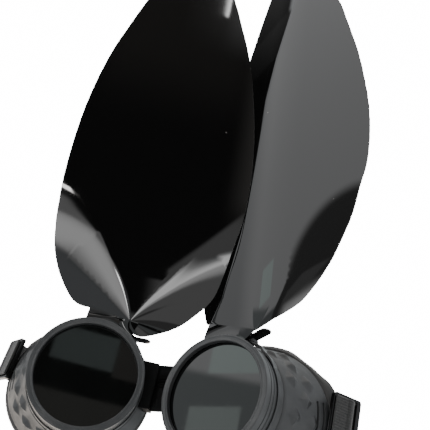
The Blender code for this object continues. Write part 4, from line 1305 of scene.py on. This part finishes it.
def tie_tail(length):
    """The tail: a flat strip with cross teeth and a round end."""
    rings = []
    for share in even_shares(TAIL_STEPS):
        along = length * share
        end = max(0, along - (length - TIE_WIDTH / 2)) / (TIE_WIDTH / 2)
        half = TIE_WIDTH / 2 * sqrt(max(1 - end * end, TAIL_BLUNT))
        tooth = TAIL_TOOTH * (0.5 + 0.5 * cos(2 * pi * along / TAIL_PITCH)) * (1 - ease(end * 2))
        thick = TIE_THICKNESS / 2 * (1 - TAIL_THINNING * ease(end))
        outline = rounded_corners(
            ((-half, -thick, thick * 0.8), (half, -thick, thick * 0.8), (half, thick - tooth, thick * 0.6),
             (-half, thick - tooth, thick * 0.6)), 3)
        rings.append([vec(along, across, up) for across, up in outline])
    return lofted("tail", rings, degrees=40)


# ---- the object
LEFT = Cup("left", -1, LEFT_TOE_IN, LEFT_EAR_YAW, LEFT_EAR_SHARES)
RIGHT = Cup("right", 1, -RIGHT_TOE_IN, RIGHT_EAR_YAW, RIGHT_EAR_SHARES)
for eyecup in (LEFT, RIGHT):
    bezel = turned(eyecup.named("bezel"), rounded_corners(RING_OUTLINE), eyecup.axis)
    dress(bezel, eyecup.named("ring"), "ring", "ring_plastic", eyecup.named("lens_ring"))
    cup_shell(eyecup)
    bridge_lug(eyecup)
    face_pad(eyecup)
    side_buckle(eyecup)
    head_strap(eyecup)
    ear(eyecup)
    ear_tab(eyecup)
    ear_tie(eyecup)
    for node, look in (("lens", "lens"), ("lens_gasket", "rubber")):
        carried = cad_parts[eyecup.named(node)]
        for index in range(len(carried.material_slots)):
            carried.material_slots[index].material = MATERIALS[look]
nose_bridge(LEFT, RIGHT)
strap_slide()

# ---- floor and light
FLOOR_LEVEL = -0.110
FLOOR_SIZE = 6


def make_floor():
    grid = bmesh.new()
    bmesh.ops.create_grid(grid, x_segments=8, y_segments=8, size=FLOOR_SIZE / 2,
                          matrix=Matrix.Translation(lift_by(FLOOR_LEVEL)))
    floor = new_object("floor", mesh_of("floor", grid))
    material, _, shader = new_material("pale_floor")
    shader.inputs["Base Color"].default_value = grey(0.86)
    shader.inputs["Roughness"].default_value = 0.7
    floor.data.materials.append(material)
    floor.visible_glossy = False


# What the studio shows a glossy surface. Each row is a patch of the studio: bearings (0 is -Y, + is +X) and
# heights in degrees, softness, brightness, warmth and greenness, and how its lower and upper edges climb with
# the bearing; what a row leaves out is 0. A row whose climb is None is an ellipse, and its softness is a share
# of its radius.
STUDIO_BASE = 0.85
STUDIO_TINT = (0.94, 1, 1.02)
ROOM_LIGHT = 0.75
BACKDROP = 16
STUDIO_CELLS = 9
STUDIO = (
    (-190, 190, 60, 95, 4, 1.6, 0.03),
    (-165, -100, 60, 95, 4, 3.2),
    (-50, 8, 52, 95, 5, 0.4),
    (30, 130, -30, 50, 8, 1.15, -0.04),
    (-178, -110, -45, 8, 5, 2.9, 0.10),
    (-104, -34, 14, 60, 1.2, 2.3, -0.01),
    (-115, -70, 5, 60, 9, 1.45, -0.02),
    (-43.1, -25, 4.8, 29.3, 0.05, 0.30, 0, 0, None),
    (-39, -35.3, 10, 18.6, 0.5, 0.62),
    (-160, -104, 18, 62, 3, 0.012),
    (-165, -100, 50, 72, 7, 0.17),
    (-37.6, -27.6, 1, 12.6, 0.9, 1.5),
    (-35, -27.6, 4.6, 14.6, 0.7, 5.6, 0, 0, None),
    (-60, -31.5, -40, 2.4, 2.2, 0.95, -0.04),
    (-31, -28.6, 13.6, 17.4, 0.6, 1.6),
    (-20, -5, 8, 30, 1.2, 0.95),
    (-14.8, 5.5, -5, 2.6, 1.5, 5, 0, 0, -1),
    (-12, 1, -3, 1.6, 1, 9.5, 0, 0, -1),
    (4.5, 22, -24, -1, 2.5, 1.3),
    (12.5, 22, -14, -1, 1, 0.5),
    (-28.4, -18.6, 13.2, 58, 0.30, 0.06),
    (-19.6, -9, 35.7, 70, 0.35, 0.06, 0, 0, 0.98),
    (-28.5, -12.5, 34, 58, 4, 0.14, 0.06),
    (-19, -18.15, 16.7, 20, 0.15, 0.06),
    (-28.4, -27.7, 10.7, 12.5, 0.2, 34),
    (-12.5, 9, 24, 56, 2, 0.5, 0.05),
    (-28.9, -28, 18.9, 19.7, 0.12, 30, 0.03),
    (-16.9, -9, 40, 62, 2.4, 0.75),
    (-17.45, -17.25, 41.6, 47, 0.16, 22),
    (9, 22, 5, 24, 1.5, 0.06),
    (11.6, 17.6, 15.2, 18.2, 0.12, 0.62, -0.06, 0.08),
    (17.6, 20.3, 14.8, 18.4, 0.15, 0.30, 0.06),
    (10, 20, 8, 12.6, 0.15, 0.34, 0.04, 0.02),
    (-62, -51, 9, 17, 0.4, 1.05, -0.04, 0.03),
    (-57.8, -51.5, 27.45, 31, 0.12, 2.8, -0.05, 0.08, 0.18),
    (-58.9, -54.2, 18, 24.5, 0.12, 2, -0.04, 0.07, 0.18),
)


def patch_mask(nodes, bearing, height, row):
    """How much of one STUDIO row shows in a direction."""
    low, high, bottom, top, soft, _, _, _, climb = row
    if climb is None:
        across, upward = [
            nodes.maths("MULTIPLY_ADD", value, 2 / (end - start), (start + end) / (start - end))
            for value, start, end in ((bearing, low, high), (height, bottom, top))]
        squared = nodes.maths("POWER", nodes.maths("ABSOLUTE", upward), 2)
        away = nodes.maths("SQRT", nodes.maths("MULTIPLY_ADD", across, across, squared))
        return nodes.between(away, 1 + soft, 1 - soft)
    level = nodes.maths("SUBTRACT", height, nodes.maths("MULTIPLY", bearing, climb))
    mask = None
    for value, edge, fade in ((bearing, low, soft), (bearing, high, -soft),
                              (level, bottom, soft), (level, top, -soft)):
        side = nodes.between(value, edge - fade, edge + fade)
        mask = side if mask is None else nodes.maths("MULTIPLY", mask, side)
    return mask


def make_world():
    world = bpy.data.worlds.new("studio")
    bpy.context.scene.world = world
    world.use_nodes = True
    tree = world.node_tree
    nodes = Nodes(tree)
    direction = nodes.add("ShaderNodeTexCoord").outputs["Generated"]
    parts = nodes.add("ShaderNodeSeparateXYZ", Vector=direction)
    ahead = nodes.maths("MULTIPLY", parts.outputs[1], -1)
    bearing = nodes.maths("DEGREES", nodes.maths("ARCTAN2", parts.outputs[0], ahead))
    height = nodes.maths("DEGREES", nodes.maths("ARCSINE", parts.outputs[2]))
    base = [STUDIO_BASE * share for share in STUDIO_TINT]
    seen = nodes.add("ShaderNodeCombineXYZ", X=base[0], Y=base[1], Z=base[2]).outputs[0]
    for given in STUDIO:
        row = given + (0,) * (STUDIO_CELLS - len(given))
        mask = patch_mask(nodes, bearing, height, row)
        bright, warm, green = row[5:8]
        patch = (bright * (1 + warm), bright * (1 + green), bright * (1 - warm))
        seen = nodes.mix(mask, seen, patch, "VECTOR")
    path = nodes.add("ShaderNodeLightPath")
    glossy = nodes.add("ShaderNodeBackground", Color=seen, Strength=1)
    plain = tree.nodes["Background"]
    plain.inputs["Color"].default_value = grey(1)
    lit = nodes.maths("MULTIPLY_ADD", path.outputs["Is Camera Ray"], BACKDROP - ROOM_LIGHT, ROOM_LIGHT)
    nodes.put(plain, "Strength", lit)
    is_glossy = path.outputs["Is Glossy Ray"]
    chosen = nodes.add("ShaderNodeMixShader", is_glossy, plain.outputs[0], glossy.outputs[0])
    tree.links.new(chosen.outputs[0], tree.nodes["World Output"].inputs["Surface"])


LIGHT_TARGET = (0, 0, 0.05)
LIGHT_SIZE = 0.5


def area_light(name, spot, power):
    data = bpy.data.lights.new(name, "AREA")
    data.shape = "DISK"
    data.size = LIGHT_SIZE
    data.energy = power
    light = new_object(name, data)
    facing = (Vector(LIGHT_TARGET) - Vector(spot)).to_track_quat("-Z", "Y")
    light.matrix_world = Matrix.Translation(spot) @ facing.to_matrix().to_4x4()
    light.visible_glossy = False


make_floor()
make_world()
area_light("soft_key", (-0.5, -0.6, 0.9), 7)
area_light("soft_back", (0.6, 0.35, 0.8), 2)
